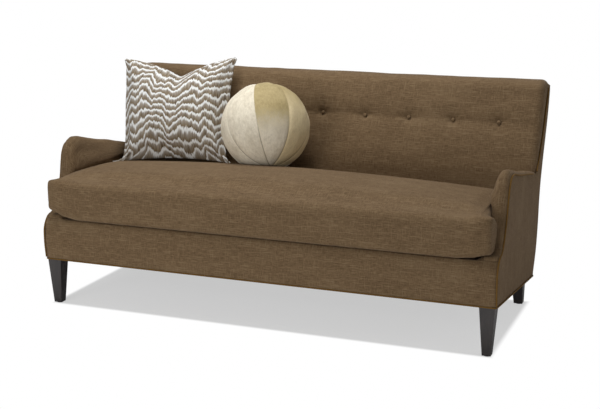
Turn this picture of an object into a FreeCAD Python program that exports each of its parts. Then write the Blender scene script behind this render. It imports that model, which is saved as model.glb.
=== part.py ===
"""A settee with one bench seat, a tight buttoned back, low sloping arms and two loose pillows.

Millimetres. X runs along the settee, Y from its front to its back, Z up. The origin is on the floor,
under the middle of the settee's box. The hem and the seat deck slope down to the back together.
"""
import FreeCAD
import Part
import Sketcher
import math
import os
from types import SimpleNamespace

# Driving dimensions, one cell each
SIZES = [
    # The whole settee
    ("overall_width", 1830.0),
    ("overall_depth", 950.0),
    ("back_height", 883.0),
    ("arm_height", 651.0),
    ("cushion_reach", 30.0),
    # The base: its hem line, and the deck that the seat cushion lies on
    ("hem_front_height", 188.0),
    ("hem_rear_height", 116.0),
    ("base_depth", 706.0),
    ("deck_front_height", 352.7),
    ("front_cover_swell", 8.0),
    # Upholstery layers
    ("cloth", 2.0),
    ("panel_thickness", 3.0),
    ("welt_radius", 3.0),
    ("soft_clearance", 0.3),
    ("overrun", 40.0),
    # Frame lumber
    ("board", 28.0),
    ("frame_setback", 12.0),
    ("rail_lift", 6.0),
    ("stretcher_height", 60.0),
    ("stretcher_place", 300.0),
    ("corner_brace", 70.0),
    ("brace_height", 100.0),
    ("post_width", 70.0),
    ("arm_rail_height", 50.0),
    ("tack_rail_height", 26.0),
    ("tack_rail_lift", 46.0),
    ("back_rail_height", 55.0),
    ("frame_top_drop", 43.0),
    ("upright_depth", 40.0),
    # Seat springs, clips and deck
    ("spring_wire", 3.8),
    ("spring_spacing", 190.0),
    ("spring_loop_radius", 13.0),
    ("spring_loop_run", 24.0),
    ("spring_count_pitch", 26.0),
    ("clip_length", 16.0),
    ("clip_depth", 10.0),
    ("clip_height", 8.0),
    ("clip_clearance", 0.2),
    ("burlap_thickness", 1.0),
    ("deck_pad_thickness", 16.0),
    ("front_roll_depth", 70.0),
    ("dust_cover_thickness", 1.0),
    # The back's padded face
    ("seat_depth", 595.0),
    ("face_lean", 185.0),
    ("rear_lean", 214.0),
    ("shoulder_drop", 25.0),
    ("back_pad_foot", 88.0),
    ("back_pad_top", 55.0),
    ("back_corner_radius", 30.0),
    ("strip_width", 136.0),
    ("crest_rise", 7.0),
    ("back_crown", 26.0),
    # The buttoned channel
    ("button_height", 728.0),
    ("button_drop", 155.0),
    ("button_spacing", 186.0),
    ("button_radius", 8.5),
    ("button_dome", 6.0),
    ("channel_radius", 75.0),
    ("channel_depth", 8.0),
    ("dimple_radius", 32.0),
    ("dimple_depth", 16.0),
    ("twine_radius", 1.0),
    ("twine_clearance", 0.4),
    ("strap_width", 50.0),
    ("strap_thickness", 2.0),
    ("anchor_radius", 11.0),
    ("anchor_thickness", 3.0),
    # Arms
    ("arm_thickness", 64.0),
    ("arm_front_round", 34.0),
    ("arm_top_round", 110.0),
    ("arm_front_run", 150.0),
    ("arm_foam_front", 14.0),
    ("arm_foam_top", 20.0),
    # Legs and their hardware
    ("leg_top_width", 58.0),
    ("leg_foot_width", 32.0),
    ("rear_leg_top_width", 50.0),
    ("rear_leg_foot_width", 34.0),
    ("front_leg_height", 190.0),
    ("rear_leg_height", 126.0),
    ("leg_side_inset", 37.0),
    ("front_leg_setback", 5.0),
    ("rear_leg_side_inset", 53.0),
    ("rear_leg_place", 650.0),
    ("rear_leg_rake", 35.0),
    ("bolt_radius", 4.0),
    ("bolt_reach", 30.0),
    ("bolt_clearance", 0.2),
    ("nut_barrel_radius", 5.2),
    ("nut_barrel_length", 12.0),
    ("nut_flange_radius", 9.0),
    ("nut_flange_thickness", 1.2),
    ("glide_radius", 12.0),
    ("glide_thickness", 3.0),
    ("glide_pin_radius", 1.2),
    ("glide_pin_length", 12.0),
    # Seat cushion
    ("cushion_half_length", 888.0),
    ("cushion_rear_gap", 4.0),
    ("cushion_front_height", 166.3),
    ("cushion_rear_height", 169.0),
    ("cushion_rear_lean", 50.0),
    ("cushion_crown", 62.0),
    ("cushion_crown_fall", 36.0),
    ("cushion_edge_fall", 3.0),
    ("cushion_front_roll", 12.0),
    ("ear_rise", 37.0),
    ("ear_top_drop", 8.0),
    ("wrap_thickness", 20.0),
    # The zip on the cushion's rear boxing
    ("zip_half_length", 600.0),
    ("zip_slot_height", 26.0),
    ("zip_tape_thickness", 1.8),
    ("zip_tape_depth", 4.0),
    ("zip_chain_width", 5.0),
    ("zip_chain_height", 1.8),
    ("slider_length", 14.0),
    ("slider_width", 11.0),
    ("slider_thickness", 3.5),
    ("slider_clearance", 0.3),
    # Square pillow
    ("pillow_width", 524.0),
    ("pillow_height", 504.0),
    ("pillow_thickness", 214.0),
    ("pillow_edge", 14.0),
    ("pillow_dent", 88.0),
    ("pillow_waist", 26.0),
    ("pillow_side_waist", 29.0),
    ("pillow_cloth", 1.5),
    ("pillow_place", 620.0),
    ("pillow_setback", 594.0),
    ("pillow_middle_height", 718.0),
    # Ball pillow
    ("ball_radius", 182.0),
    ("ball_place", 163.0),
    ("ball_setback", 503.0),
    ("ball_middle_height", 686.0),
]

# Angles of the square pillow, in degrees: turned to the seat's middle, leant back, rolled
PILLOW_TURN = 10.4
PILLOW_LEAN = 29.0
PILLOW_ROLL = 1.9

# Buttons in the row on the back
BUTTON_COUNT = 9
SPRING_COUNT = 9

# Rear line of the back in side view: shares of the lean behind the hem, and of the height above it
REAR_SHARES = [(0.0, 0.0), (0.22, 0.127), (0.315, 0.262), (0.357, 0.42), (0.41, 0.50),
               (0.48, 0.56), (0.955, 0.925), (1.0, 1.0)]

# Crest of the back: shares of the run from the shoulder to the rear line, and of the shoulder drop
CREST_SHARES = [(0.0, 0.0), (0.07, 0.48), (0.19, 0.80), (0.34, 0.95), (0.58, 1.0), (0.86, 0.80), (1.0, -0.05)]

# How much of the back's corner radius its crest drops by, at the ends of the back
CREST_CORNER_SHARE = 0.75

# Arm in side view: shares of the front run and of the arm's height over the deck
ARM_FRONT_SHARES = [(0.093, 0.0), (0.12, 0.02), (0.36, 0.065), (0.63, 0.27), (0.787, 0.495),
                    (0.91, 0.745), (1.0, 0.885), (1.11, 0.955), (1.32, 0.995), (1.50, 1.0)]

# Arm top behind its peak: shares of the run to the back frame, and of the arm's height over the deck
ARM_TOP_SHARES = [(0.055, 0.968), (0.20, 0.897), (0.45, 0.80), (1.0, 0.595)]

# Arm across its thickness, from the inner face: place, front inset and top inset, as shares
ARM_STATION_SHARES = [(0.0, 1.0, 1.0), (0.05, 0.65, 0.76), (0.125, 0.35, 0.53), (0.235, 0.15, 0.24),
                      (0.44, 0.03, 0.05), (0.64, 0.0, 0.0), (0.84, 0.03, 0.03), (1.0, 0.18, 0.145)]

# Front edge of the side strip of the back: shares of the strip's height over the arm and of its width
STRIP_SHARES = [(0.0, 1.0), (0.22, 0.80), (0.5, 0.60), (0.75, 0.52), (1.0, 0.42)]

# Height of the strip's foot, as a share of the arm's height over the deck
STRIP_FOOT_SHARE = 0.60

# Front of the base in side view: shares of the cover's swell, and of the height from hem to deck
BASE_FRONT_SHARES = [(0.0, 0.0), (-1.0, 0.45), (-0.3, 0.83)]

# Where the front cover turns over its rail: shares of its height from the hem, and of its swell
COVER_TURN_SHARE = 0.94
COVER_RUN_SHARE = 3.0

# Width of the arm post at its head and behind its knee, as shares of its width at the foot
POST_HEAD_SHARE = 0.9
POST_KNEE_SHARE = 0.3

# Straight rim of a button, as a share of its height
BUTTON_RIM_SHARE = 0.4

# Bend radius of the welts, and how far the hem's welt stands back, as shares of the welt's radius
WELT_BEND_SHARE = 3.0
HEM_SETBACK_SHARE = 0.4

# How much of its gap from the arm a cushion's ear also keeps upwards
EAR_GAP_SHARE = 0.5

# How far the face of the back swells: shares of its height from the seat, and of the crown
BACK_CROWN_SHARES = [(0.3, 0.13), (0.37, 0.40), (0.44, 0.73), (0.55, 0.97), (0.66, 0.93), (0.78, 0.68),
                     (0.87, 0.60), (0.95, 0.30), (1.0, 0.0)]

# The crown along the half width of the back: place and crown, as shares
BACK_STATION_SHARES = [(0.0, 1.0), (0.72, 0.9), (1.0, 0.5)]

# Seat cushion along its half length: place, bottom rise, top drop and how far its nose is like its end's
CUSHION_STATION_SHARES = [(0.0, 0.0, 0.0, 0.0), (0.34, 0.0, 0.0, 0.0), (0.68, 0.0, 0.0, 0.0),
                          (0.86, 0.0, 0.0, 0.1), (0.93, 0.33, 0.1, 0.35), (0.965, 0.78, 0.35, 0.7),
                          (1.0, 1.0, 1.0, 1.0)]

# The cushion's nose from below to the top, at its middle and at its ends: shares of its reach and height
CUSHION_NOSE_SHARES = [(-0.4, 0.0), (0.4, 0.045), (0.83, 0.19), (1.0, 0.505), (0.83, 0.813), (0.5, 0.934),
                       (-0.27, 1.0)]
CUSHION_END_SHARES = [(-0.33, 0.0), (0.1, 0.025), (0.4, 0.11), (0.467, 0.508), (0.4, 0.907), (0.3, 0.975),
                      (0.067, 1.0)]

# Square pillow along its half width: place, thickness and top dent, as shares
PILLOW_STATION_SHARES = [(0.0, 1.0, 1.0), (0.25, 0.955, 0.60), (0.5, 0.82, 0.32), (0.72, 0.59, 0.14),
                         (0.88, 0.33, 0.05), (0.96, 0.15, 0.01), (1.0, 0.0, 0.0)]

# Square pillow along its half height: place and thickness, as shares
PILLOW_SIDE_SHARES = [(0.0, 1.12), (0.3, 1.10), (0.6, 1.02), (0.85, 0.85), (1.0, 0.7)]


doc = FreeCAD.newDocument("Settee")
sheet = doc.addObject("Spreadsheet::Sheet", "Sizes")
for row, (alias, value) in enumerate(SIZES, start=1):
    sheet.set("A%d" % row, alias)
    sheet.set("B%d" % row, str(value))
    sheet.setAlias("B%d" % row, alias)
doc.recompute()


class Size:
    """A length: its value now, and the expression that ties a property to the sheet."""

    def __init__(self, value, text):
        self.value = value
        self.text = text

    def __add__(self, other):
        other = as_size(other)
        return Size(self.value + other.value, "(%s + %s)" % (self.text, other.text))

    def __sub__(self, other):
        other = as_size(other)
        return Size(self.value - other.value, "(%s - %s)" % (self.text, other.text))

    def __mul__(self, other):
        other = as_size(other)
        return Size(self.value * other.value, "(%s * %s)" % (self.text, other.text))

    def __truediv__(self, other):
        other = as_size(other)
        return Size(self.value / other.value, "(%s / %s)" % (self.text, other.text))

    def __neg__(self):
        return Size(-self.value, "(0 - %s)" % self.text)


def as_size(number):
    if isinstance(number, Size):
        return number
    return Size(float(number), repr(float(number)))


S = SimpleNamespace(**{alias: Size(sheet.get(alias), "Sizes." + alias) for alias, value in SIZES})
ZERO = as_size(0)

# Datum planes and lines, all worked out from the sheet

HALF_WIDTH = S.overall_width / 2
PANEL_INNER = HALF_WIDTH - S.welt_radius * 2
PANEL_OUTER = PANEL_INNER + S.panel_thickness
WELT_PLACE = HALF_WIDTH - S.welt_radius
FRAME_OUTER = PANEL_INNER - S.cloth
ARM_INNER = PANEL_INNER - S.arm_thickness
FRONT = S.cushion_reach - S.overall_depth / 2
REAR_HEM = FRONT + S.base_depth
REAR_TOP = S.overall_depth / 2
SLOPE = (S.hem_front_height - S.hem_rear_height) / S.base_depth
SHOULDER_HEIGHT = S.back_height - S.shoulder_drop
FRAME_TOP = S.back_height - S.frame_top_drop
SPRING_DROP = S.cloth + S.deck_pad_thickness + S.burlap_thickness + S.clip_height


def hem_at(y):
    return S.hem_front_height - SLOPE * (y - FRONT)


def deck_at(y):
    return S.deck_front_height - SLOPE * (y - FRONT)


FACE_FOOT = FRONT + S.seat_depth
FACE_FOOT_HEIGHT = deck_at(FACE_FOOT)
FACE_LEAN = S.face_lean * (REAR_TOP - REAR_HEM) / S.rear_lean
FACE_SLOPE = FACE_LEAN / (SHOULDER_HEIGHT - FACE_FOOT_HEIGHT)
CUSHION_REAR_SLOPE = S.cushion_rear_lean / S.cushion_rear_height * (FACE_LEAN / S.face_lean)
PAD_SLOPE = (S.back_pad_top - S.back_pad_foot) / (SHOULDER_HEIGHT - FACE_FOOT_HEIGHT)
RAIL_REAR = FRONT + S.frame_setback + S.board
FRONT_RAIL_TOP = deck_at(RAIL_REAR) - SPRING_DROP
REAR_LEG_PLACE = FRONT + S.rear_leg_place


def face_at(z):
    """The padded face of the back, at height z."""
    return FACE_FOOT + FACE_SLOPE * (z - FACE_FOOT_HEIGHT)


def frame_at(z):
    """The front plane of the back's frame, behind its padding, at height z."""
    return face_at(z) + S.back_pad_foot + PAD_SLOPE * (z - FACE_FOOT_HEIGHT)


BACK_RAIL_FRONT = frame_at(FACE_FOOT_HEIGHT) - S.frame_setback
BACK_RAIL_TOP = deck_at(BACK_RAIL_FRONT + S.board / 2) - SPRING_DROP
REAR_TOP_HEIGHT = SHOULDER_HEIGHT
BUTTON_ROW = S.back_height * S.button_height / (S.button_height + S.button_drop)


def rear_line(setback):
    """The rear line of the back from the hem to the top, moved forward by setback."""
    lean = REAR_TOP - REAR_HEM
    rise = REAR_TOP_HEIGHT - S.hem_rear_height
    return [(REAR_HEM + lean * a - setback, S.hem_rear_height + rise * b) for a, b in REAR_SHARES]


def between(first, second, z):
    """The point at height z on the line through two points of a side view."""
    share = (z - first[1]) / (second[1] - first[1])
    return (first[0] + (second[0] - first[0]) * share, z)


def arm_profile(front_inset, top_inset):
    """The arm in side view, from the front of its foot over the top to the back frame."""
    run = S.arm_front_run
    foot = S.deck_front_height
    rise = S.arm_height - foot - top_inset
    front = [(FRONT + run * a + front_inset, foot + rise * b) for a, b in ARM_FRONT_SHARES]
    peak = front[-1][0]
    end = frame_at(foot + rise * ARM_TOP_SHARES[-1][1]) - S.strap_thickness
    top = [(peak + (end - peak) * a, foot + rise * b) for a, b in ARM_TOP_SHARES]
    return front + top


# Builders for the pieces that are made from boards, rods and plates

PIECES = {}


def tie(piece, **sizes):
    for name, size in sizes.items():
        piece.setExpression(name, size.text)


def place(piece, x, y, z):
    for axis, size in zip("xyz", (x, y, z)):
        piece.setExpression("Placement.Base." + axis, size.text)


def keep(node, piece):
    """Names a finished sub-part, so that it is written out."""
    piece.Label = node
    PIECES[node] = piece
    return piece


def box(name, x, y, z, length, width, height):
    piece = doc.addObject("Part::Box", name)
    tie(piece, Length=length, Width=width, Height=height)
    place(piece, x, y, z)
    return piece


def rod(name, radius, length, x, y, z):
    """An upright round rod on its centre (x, y), from z up."""
    piece = doc.addObject("Part::Cylinder", name)
    tie(piece, Radius=radius, Height=length)
    place(piece, x, y, z)
    return piece


def outline_sketch(body, name, plane_role, points):
    """A closed outline whose corners are tied to the sheet, on one of the body's own planes."""
    plane = [f for f in body.Origin.OriginFeatures if f.Role == plane_role][0]
    sketch = body.newObject("Sketcher::SketchObject", name)
    sketch.AttachmentSupport = [(plane, "")]
    sketch.MapMode = "FlatFace"
    corners = [FreeCAD.Vector(a.value, b.value, 0) for a, b in points]
    count = len(corners)
    for k in range(count):
        sketch.addGeometry(Part.LineSegment(corners[k], corners[(k + 1) % count]), False)
    for k in range(count):
        sketch.addConstraint(Sketcher.Constraint("Coincident", k, 2, (k + 1) % count, 1))
    for k, (across, up) in enumerate(points):
        for kind, size in (("DistanceX", across), ("DistanceY", up)):
            index = sketch.addConstraint(Sketcher.Constraint(kind, -1, 1, k, 1, size.value))
            sketch.setExpression("Constraints[%d]" % index, size.text)
    return sketch


def side_board(name, points, start, thickness):
    """A board or sheet cut to an outline of (y, z) corners, from x = start on."""
    body = doc.addObject("PartDesign::Body", name)
    pad = body.newObject("PartDesign::Pad", name + "_pad")
    pad.Profile = outline_sketch(body, name + "_outline", "YZ_Plane", points)
    tie(pad, Length=thickness)
    place(body, start, ZERO, ZERO)
    return body


def group(name, members):
    compound = doc.addObject("Part::Compound", name)
    compound.Links = members
    return compound


def cut(name, base, tools):
    """The base less its tools."""
    tool = tools[0]
    if len(tools) > 1:
        tool = group(name + "_tools", tools)
    piece = doc.addObject("Part::Cut", name)
    piece.Base = base
    piece.Tool = tool
    return piece


def mirrored_start(side, start, thickness):
    """Where a board starts along X: as given on the right, mirrored on the left."""
    return start if side > 0 else -(start + thickness)


def soft(node, shape):
    """A covered or padded piece, whose shape comes from Part's own functions."""
    feature = doc.addObject("Part::Feature", node)
    feature.Shape = shape
    feature.Placement = FreeCAD.Placement()
    return keep(node, feature)


# Helpers for the padded pieces, on plain numbers read from the sheet

def plain(points):
    return [(a.value, b.value) for a, b in points]


def side_wire(x, points):
    vectors = [FreeCAD.Vector(x, y, z) for y, z in points]
    return Part.makePolygon(vectors + [vectors[0]])


def side_prism(x_start, x_end, points):
    face = Part.Face(side_wire(x_start, points))
    return face.extrude(FreeCAD.Vector(x_end - x_start, 0, 0))


def ruled_loft(wires):
    return Part.makeLoft(wires, True, True)


def offset_line(points, distance):
    """An open line moved to its right-hand side by distance, with its corners kept sharp."""
    normals = []
    for (ya, za), (yb, zb) in zip(points, points[1:]):
        length = math.hypot(yb - ya, zb - za)
        normals.append(((zb - za) / length, -(yb - ya) / length))
    moved = []
    for k, (y, z) in enumerate(points):
        before = normals[max(k - 1, 0)]
        after = normals[min(k, len(normals) - 1)]
        total = (before[0] + after[0], before[1] + after[1])
        scale = 2 * distance / (total[0] ** 2 + total[1] ** 2)
        moved.append((y + total[0] * scale, z + total[1] * scale))
    return moved


def mirror_x(shape):
    return shape.mirror(FreeCAD.Vector(0, 0, 0), FreeCAD.Vector(1, 0, 0))


def rounded_tube(points, bend, radius):
    """A tube along straight runs joined by tangent arcs of radius bend."""
    vectors = [FreeCAD.Vector(*p) for p in points]
    edges = []
    start = vectors[0]
    for before, corner, after in zip(vectors, vectors[1:], vectors[2:]):
        towards = (corner - before).normalize()
        away = (after - corner).normalize()
        half_turn = towards.getAngle(away) / 2
        reach = bend * math.tan(half_turn)
        first = corner - towards * reach
        last = corner + away * reach
        inward = (away - towards).normalize()
        middle = corner + inward * (bend / math.cos(half_turn) - bend)
        edges.append(Part.LineSegment(start, first).toShape())
        edges.append(Part.Arc(first, middle, last).toShape())
        start = last
    edges.append(Part.LineSegment(start, vectors[-1]).toShape())
    path = Part.Wire(edges)
    ring = Part.Wire(Part.makeCircle(radius, vectors[0], vectors[1] - vectors[0]))
    return path.makePipeShell([ring], True, False)


# Base frame

def front_rail():
    base = box("front_rail_board", -PANEL_INNER, FRONT + S.frame_setback, S.front_leg_height,
               PANEL_INNER * 2, S.board, FRONT_RAIL_TOP - S.front_leg_height)
    return keep("front_rail", cut("front_rail_drilled", base, nut_seats("front")))


def leg_bolt_places():
    """Centre of each leg's bolt and the height of the leg's top: front pair, then rear pair."""
    front_y = FRONT + S.frame_setback + S.board / 2
    front_x = PANEL_OUTER - S.leg_side_inset + S.panel_thickness
    rear_x = front_x - S.rear_leg_side_inset + S.leg_side_inset - S.frame_setback
    return {"front": (front_x, front_y, S.front_leg_height),
            "rear": (rear_x, REAR_LEG_PLACE, S.rear_leg_height)}


def nut_seats(end):
    """Cutters for the T-nuts and bolts above one pair of legs."""
    x, y, z = leg_bolt_places()[end]
    tools = []
    for side, mark in ((1, "right"), (-1, "left")):
        centre = x if side > 0 else -x
        tools.append(rod("%s_%s_flange_seat" % (end, mark), S.nut_flange_radius + S.bolt_clearance,
                         S.nut_flange_thickness + S.bolt_clearance, centre, y, z))
        tools.append(rod("%s_%s_barrel_seat" % (end, mark), S.nut_barrel_radius + S.bolt_clearance,
                         S.nut_barrel_length + S.bolt_clearance, centre, y, z))
        tools.append(rod("%s_%s_bolt_way" % (end, mark), S.bolt_radius + S.bolt_clearance,
                         S.bolt_reach + S.bolt_clearance * 2, centre, y, z))
    return [fused("%s_nut_seats" % end, tools)]


def fused(name, members):
    piece = doc.addObject("Part::MultiFuse", name)
    piece.Shapes = members
    return piece


def side_rails():
    front = RAIL_REAR
    for side, mark in ((1, "right"), (-1, "left")):
        low_rear = frame_at(S.rear_leg_height)
        high_rear = frame_at(BACK_RAIL_TOP)
        leg_rear = FRONT + S.front_leg_setback + S.leg_top_width + S.soft_clearance
        outline = [(front, S.front_leg_height), (front, deck_at(front) - SPRING_DROP),
                   (high_rear, deck_at(high_rear) - SPRING_DROP),
                   (low_rear, hem_at(low_rear) + S.rail_lift),
                   (leg_rear, hem_at(leg_rear) + S.rail_lift), (leg_rear, S.front_leg_height)]
        start = mirrored_start(side, FRAME_OUTER - S.board, S.board)
        keep("side_rail_" + mark, side_board("side_rail_" + mark, outline, start, S.board))


def back_rail():
    half = FRAME_OUTER - S.board - S.leg_top_width
    return keep("back_rail", box("back_rail", -half, BACK_RAIL_FRONT, S.rear_leg_height,
                                 half * 2, S.board, BACK_RAIL_TOP - S.rear_leg_height))


def seat_stretchers():
    boards = []
    rear = BACK_RAIL_FRONT
    outline = [(RAIL_REAR, hem_at(RAIL_REAR) + S.rail_lift),
               (RAIL_REAR, hem_at(RAIL_REAR) + S.rail_lift + S.stretcher_height),
               (rear, hem_at(rear) + S.rail_lift + S.stretcher_height), (rear, hem_at(rear) + S.rail_lift)]
    for side, mark in ((1, "right"), (-1, "left")):
        start = mirrored_start(side, S.stretcher_place, S.board)
        boards.append(side_board("stretcher_" + mark, outline, start, S.board))
    return keep("seat_stretchers", group("seat_stretchers", boards))


def corner_block(name, side):
    """A three-cornered block glued into a front corner of the frame."""
    body = doc.addObject("PartDesign::Body", name)
    inner = FRAME_OUTER - S.board
    corner = inner if side > 0 else -inner
    tip = inner - S.corner_brace if side > 0 else S.corner_brace - inner
    points = [(corner, RAIL_REAR), (corner, RAIL_REAR + S.corner_brace), (tip, RAIL_REAR)]
    pad = body.newObject("PartDesign::Pad", name + "_pad")
    pad.Profile = outline_sketch(body, name + "_outline", "XY_Plane", points)
    tie(pad, Length=S.brace_height)
    place(body, ZERO, ZERO, S.front_leg_height + S.rail_lift)
    return body


def corner_blocks():
    return keep("corner_blocks", group("corner_blocks", [corner_block("block_right", 1),
                                                         corner_block("block_left", -1)]))


def rear_leg_blocks():
    """Solid blocks beside the back posts, which take the bolts of the rear legs."""
    blocks = []
    start_y = REAR_LEG_PLACE - S.rear_leg_top_width / 2
    depth = BACK_RAIL_FRONT + S.board - start_y
    for side, mark in ((1, "right"), (-1, "left")):
        start = mirrored_start(side, FRAME_OUTER - S.board - S.leg_top_width, S.leg_top_width)
        blocks.append(box("leg_block_" + mark, start, start_y, S.rear_leg_height,
                          S.leg_top_width, depth, BACK_RAIL_TOP - S.rear_leg_height))
    whole = group("leg_blocks", blocks)
    return keep("rear_leg_blocks", cut("leg_blocks_drilled", whole, nut_seats("rear")))


# Back frame

def back_post_outline():
    rear = rear_line(S.panel_thickness)
    low = between(rear[0], rear[1], S.rear_leg_height)
    top = between(rear[-2], rear[-1], FRAME_TOP)
    points = [(frame_at(S.rear_leg_height), S.rear_leg_height), (frame_at(FRAME_TOP), FRAME_TOP), top]
    return points + rear[-2:0:-1] + [low]


def back_posts():
    for side, mark in ((1, "right"), (-1, "left")):
        start = mirrored_start(side, FRAME_OUTER - S.board, S.board)
        keep("back_post_" + mark, side_board("back_post_" + mark, back_post_outline(), start, S.board))


def leaning_rail(node, low, high, depth, half):
    """A rail along X whose front lies on the leaning front plane of the back's frame."""
    points = [(frame_at(low), low), (frame_at(high), high),
              (frame_at(high) + depth, high), (frame_at(low) + depth, low)]
    return keep(node, side_board(node, points, -half, half * 2))


def back_rails():
    half = FRAME_OUTER - S.board
    low = FACE_FOOT_HEIGHT - S.cloth * 2
    leaning_rail("back_lower_rail", low, low + S.back_rail_height, S.board, half)
    leaning_rail("back_top_rail", FRAME_TOP - S.back_rail_height, FRAME_TOP, S.board, half)


def back_uprights():
    low = FACE_FOOT_HEIGHT - S.cloth * 2 + S.back_rail_height
    high = FRAME_TOP - S.back_rail_height
    points = [(frame_at(low), low), (frame_at(high), high),
              (frame_at(high) + S.upright_depth, high), (frame_at(low) + S.upright_depth, low)]
    boards = []
    for side, mark in ((1, "right"), (-1, "left")):
        start = mirrored_start(side, S.stretcher_place, S.board)
        boards.append(side_board("upright_" + mark, points, start, S.board))
    return keep("back_uprights", group("back_uprights", boards))


# Arm frame

def arm_frame_line():
    """The arm frame's edge in side view: the arm's profile less its foam and cloth."""
    profile = arm_profile(S.arm_foam_front, S.arm_foam_top)
    return profile[3:8], profile[-1]


def arm_frames():
    front, rear_end = arm_frame_line()
    foot_y = front[0][0] - S.frame_setback
    foot_rear = foot_y + S.post_width
    top = front[-1]
    post = [(foot_y, deck_at(foot_y) - SPRING_DROP)] + front
    rail_start = (top[0] + S.post_width * POST_HEAD_SHARE, top[1])
    post += [rail_start, (foot_rear + S.post_width * POST_KNEE_SHARE, front[0][1]),
             (foot_rear, deck_at(foot_rear) - SPRING_DROP)]
    joint = between(rail_start, post[-2], rail_start[1] - S.arm_rail_height)
    rail = [rail_start, rear_end, (frame_at(rear_end[1] - S.arm_rail_height),
                                   rear_end[1] - S.arm_rail_height), joint]
    low_start = between(post[-2], post[-1], deck_at(foot_rear) + S.tack_rail_lift)
    low_end = between(post[-2], post[-1], deck_at(foot_rear) + S.tack_rail_lift - S.tack_rail_height)
    low_height = deck_at(FACE_FOOT + S.back_pad_foot) + S.tack_rail_lift
    tack = [low_start, (frame_at(low_height), low_height),
            (frame_at(low_height - S.tack_rail_height), low_height - S.tack_rail_height), low_end]
    for side, mark in ((1, "right"), (-1, "left")):
        start = mirrored_start(side, FRAME_OUTER - S.board, S.board)
        keep("arm_post_" + mark, side_board("arm_post_" + mark, post, start, S.board))
        keep("arm_top_rail_" + mark, side_board("arm_top_rail_" + mark, rail, start, S.board))
        keep("arm_tack_rail_" + mark, side_board("arm_tack_rail_" + mark, tack, start, S.board))


# Seat springs and deck

def spring_places():
    first = (SPRING_COUNT - 1) / 2
    return [S.spring_spacing * (k - first) for k in range(SPRING_COUNT)]


def seat_springs():
    """Sinuous wires from the front rail to the back rail, held in clips on both."""
    front_y = (FRONT + S.frame_setback + S.board / 2).value
    rear_y = (BACK_RAIL_FRONT + S.board / 2).value
    front_z = (FRONT_RAIL_TOP + S.clip_height / 2).value
    rear_z = (BACK_RAIL_TOP + S.clip_height / 2).value
    length = math.hypot(rear_y - front_y, rear_z - front_z)
    loops = int(round(length / S.spring_count_pitch.value))
    radius = length / loops / 2
    half_run = S.spring_loop_run.value / 2
    edges = []
    for k in range(loops):
        y = 2 * radius * k
        side = 1 if k % 2 == 0 else -1
        edges.append(Part.LineSegment(FreeCAD.Vector(-side * half_run, y, 0),
                                      FreeCAD.Vector(side * half_run, y, 0)).toShape())
        edges.append(Part.Arc(FreeCAD.Vector(side * half_run, y, 0),
                              FreeCAD.Vector(side * (half_run + radius), y + radius, 0),
                              FreeCAD.Vector(side * half_run, y + 2 * radius, 0)).toShape())
    last = 1 if loops % 2 == 0 else -1
    edges.append(Part.LineSegment(FreeCAD.Vector(-last * half_run, length, 0),
                                  FreeCAD.Vector(last * half_run, length, 0)).toShape())
    ring = Part.Wire(Part.makeCircle(S.spring_wire.value / 2, FreeCAD.Vector(-half_run, 0, 0),
                                     FreeCAD.Vector(1, 0, 0)))
    wire = Part.Wire(edges).makePipeShell([ring], True, False)
    pitch = math.degrees(math.atan2(rear_z - front_z, rear_y - front_y))
    turn = FreeCAD.Rotation(FreeCAD.Vector(1, 0, 0), pitch)
    springs = []
    for x in spring_places():
        copy = wire.copy()
        copy.Placement = FreeCAD.Placement(FreeCAD.Vector(x.value, front_y, front_z), turn)
        springs.append(copy)
    return soft("seat_springs", Part.makeCompound(springs))


def spring_clips():
    """Bored blocks on the two rails, one at each end of each spring."""
    clips = []
    bore = S.spring_wire / 2 + S.clip_clearance
    ends = (("front", FRONT + S.frame_setback + S.board / 2, FRONT_RAIL_TOP),
            ("rear", BACK_RAIL_FRONT + S.board / 2, BACK_RAIL_TOP))
    for end, y, z in ends:
        for k, x in enumerate(spring_places()):
            name = "%s_clip_%d" % (end, k)
            block = box(name, x - S.clip_length / 2, y - S.clip_depth / 2, z,
                        S.clip_length, S.clip_depth, S.clip_height)
            way = doc.addObject("Part::Cylinder", name + "_bore")
            tie(way, Radius=bore, Height=S.clip_length + S.overrun)
            way.Placement = FreeCAD.Placement(FreeCAD.Vector(0, 0, 0),
                                              FreeCAD.Rotation(FreeCAD.Vector(0, 1, 0), 90))
            place(way, x - (S.clip_length + S.overrun) / 2, y, z + S.clip_height / 2)
            clips.append(cut(name + "_bored", block, [way]))
    return keep("spring_clips", group("spring_clips", clips))


def deck_sheet(node, top_drop, thickness, start, end, half):
    """A layer of the deck, which slopes to the back with the hem."""
    points = [(start, deck_at(start) - top_drop), (end, deck_at(end) - top_drop),
              (end, deck_at(end) - top_drop - thickness), (start, deck_at(start) - top_drop - thickness)]
    return keep(node, side_board(node, points, -half, half * 2))


def deck():
    half = FRAME_OUTER - S.board - S.soft_clearance
    rear = frame_at(FACE_FOOT_HEIGHT) - S.cloth * 2
    roll_end = FRONT + S.front_roll_depth
    deck_sheet("deck_cover", ZERO, S.cloth, roll_end, rear, half)
    deck_sheet("deck_pad", S.cloth, S.deck_pad_thickness, roll_end, rear, half)
    deck_sheet("deck_burlap", S.cloth + S.deck_pad_thickness, S.burlap_thickness,
               FRONT + S.frame_setback, rear, half)


def dust_cover():
    start = FRONT + S.front_leg_setback + S.leg_top_width + S.cloth * 2
    end = REAR_LEG_PLACE - S.rear_leg_top_width / 2 - S.cloth * 2
    lift = S.rail_lift
    points = [(start, hem_at(start) + lift), (end, hem_at(end) + lift),
              (end, hem_at(end) + lift - S.dust_cover_thickness),
              (start, hem_at(start) + lift - S.dust_cover_thickness)]
    half = FRAME_OUTER - S.cloth
    return keep("dust_cover", side_board("dust_cover", points, -half, half * 2))


# Covers of the base

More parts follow.
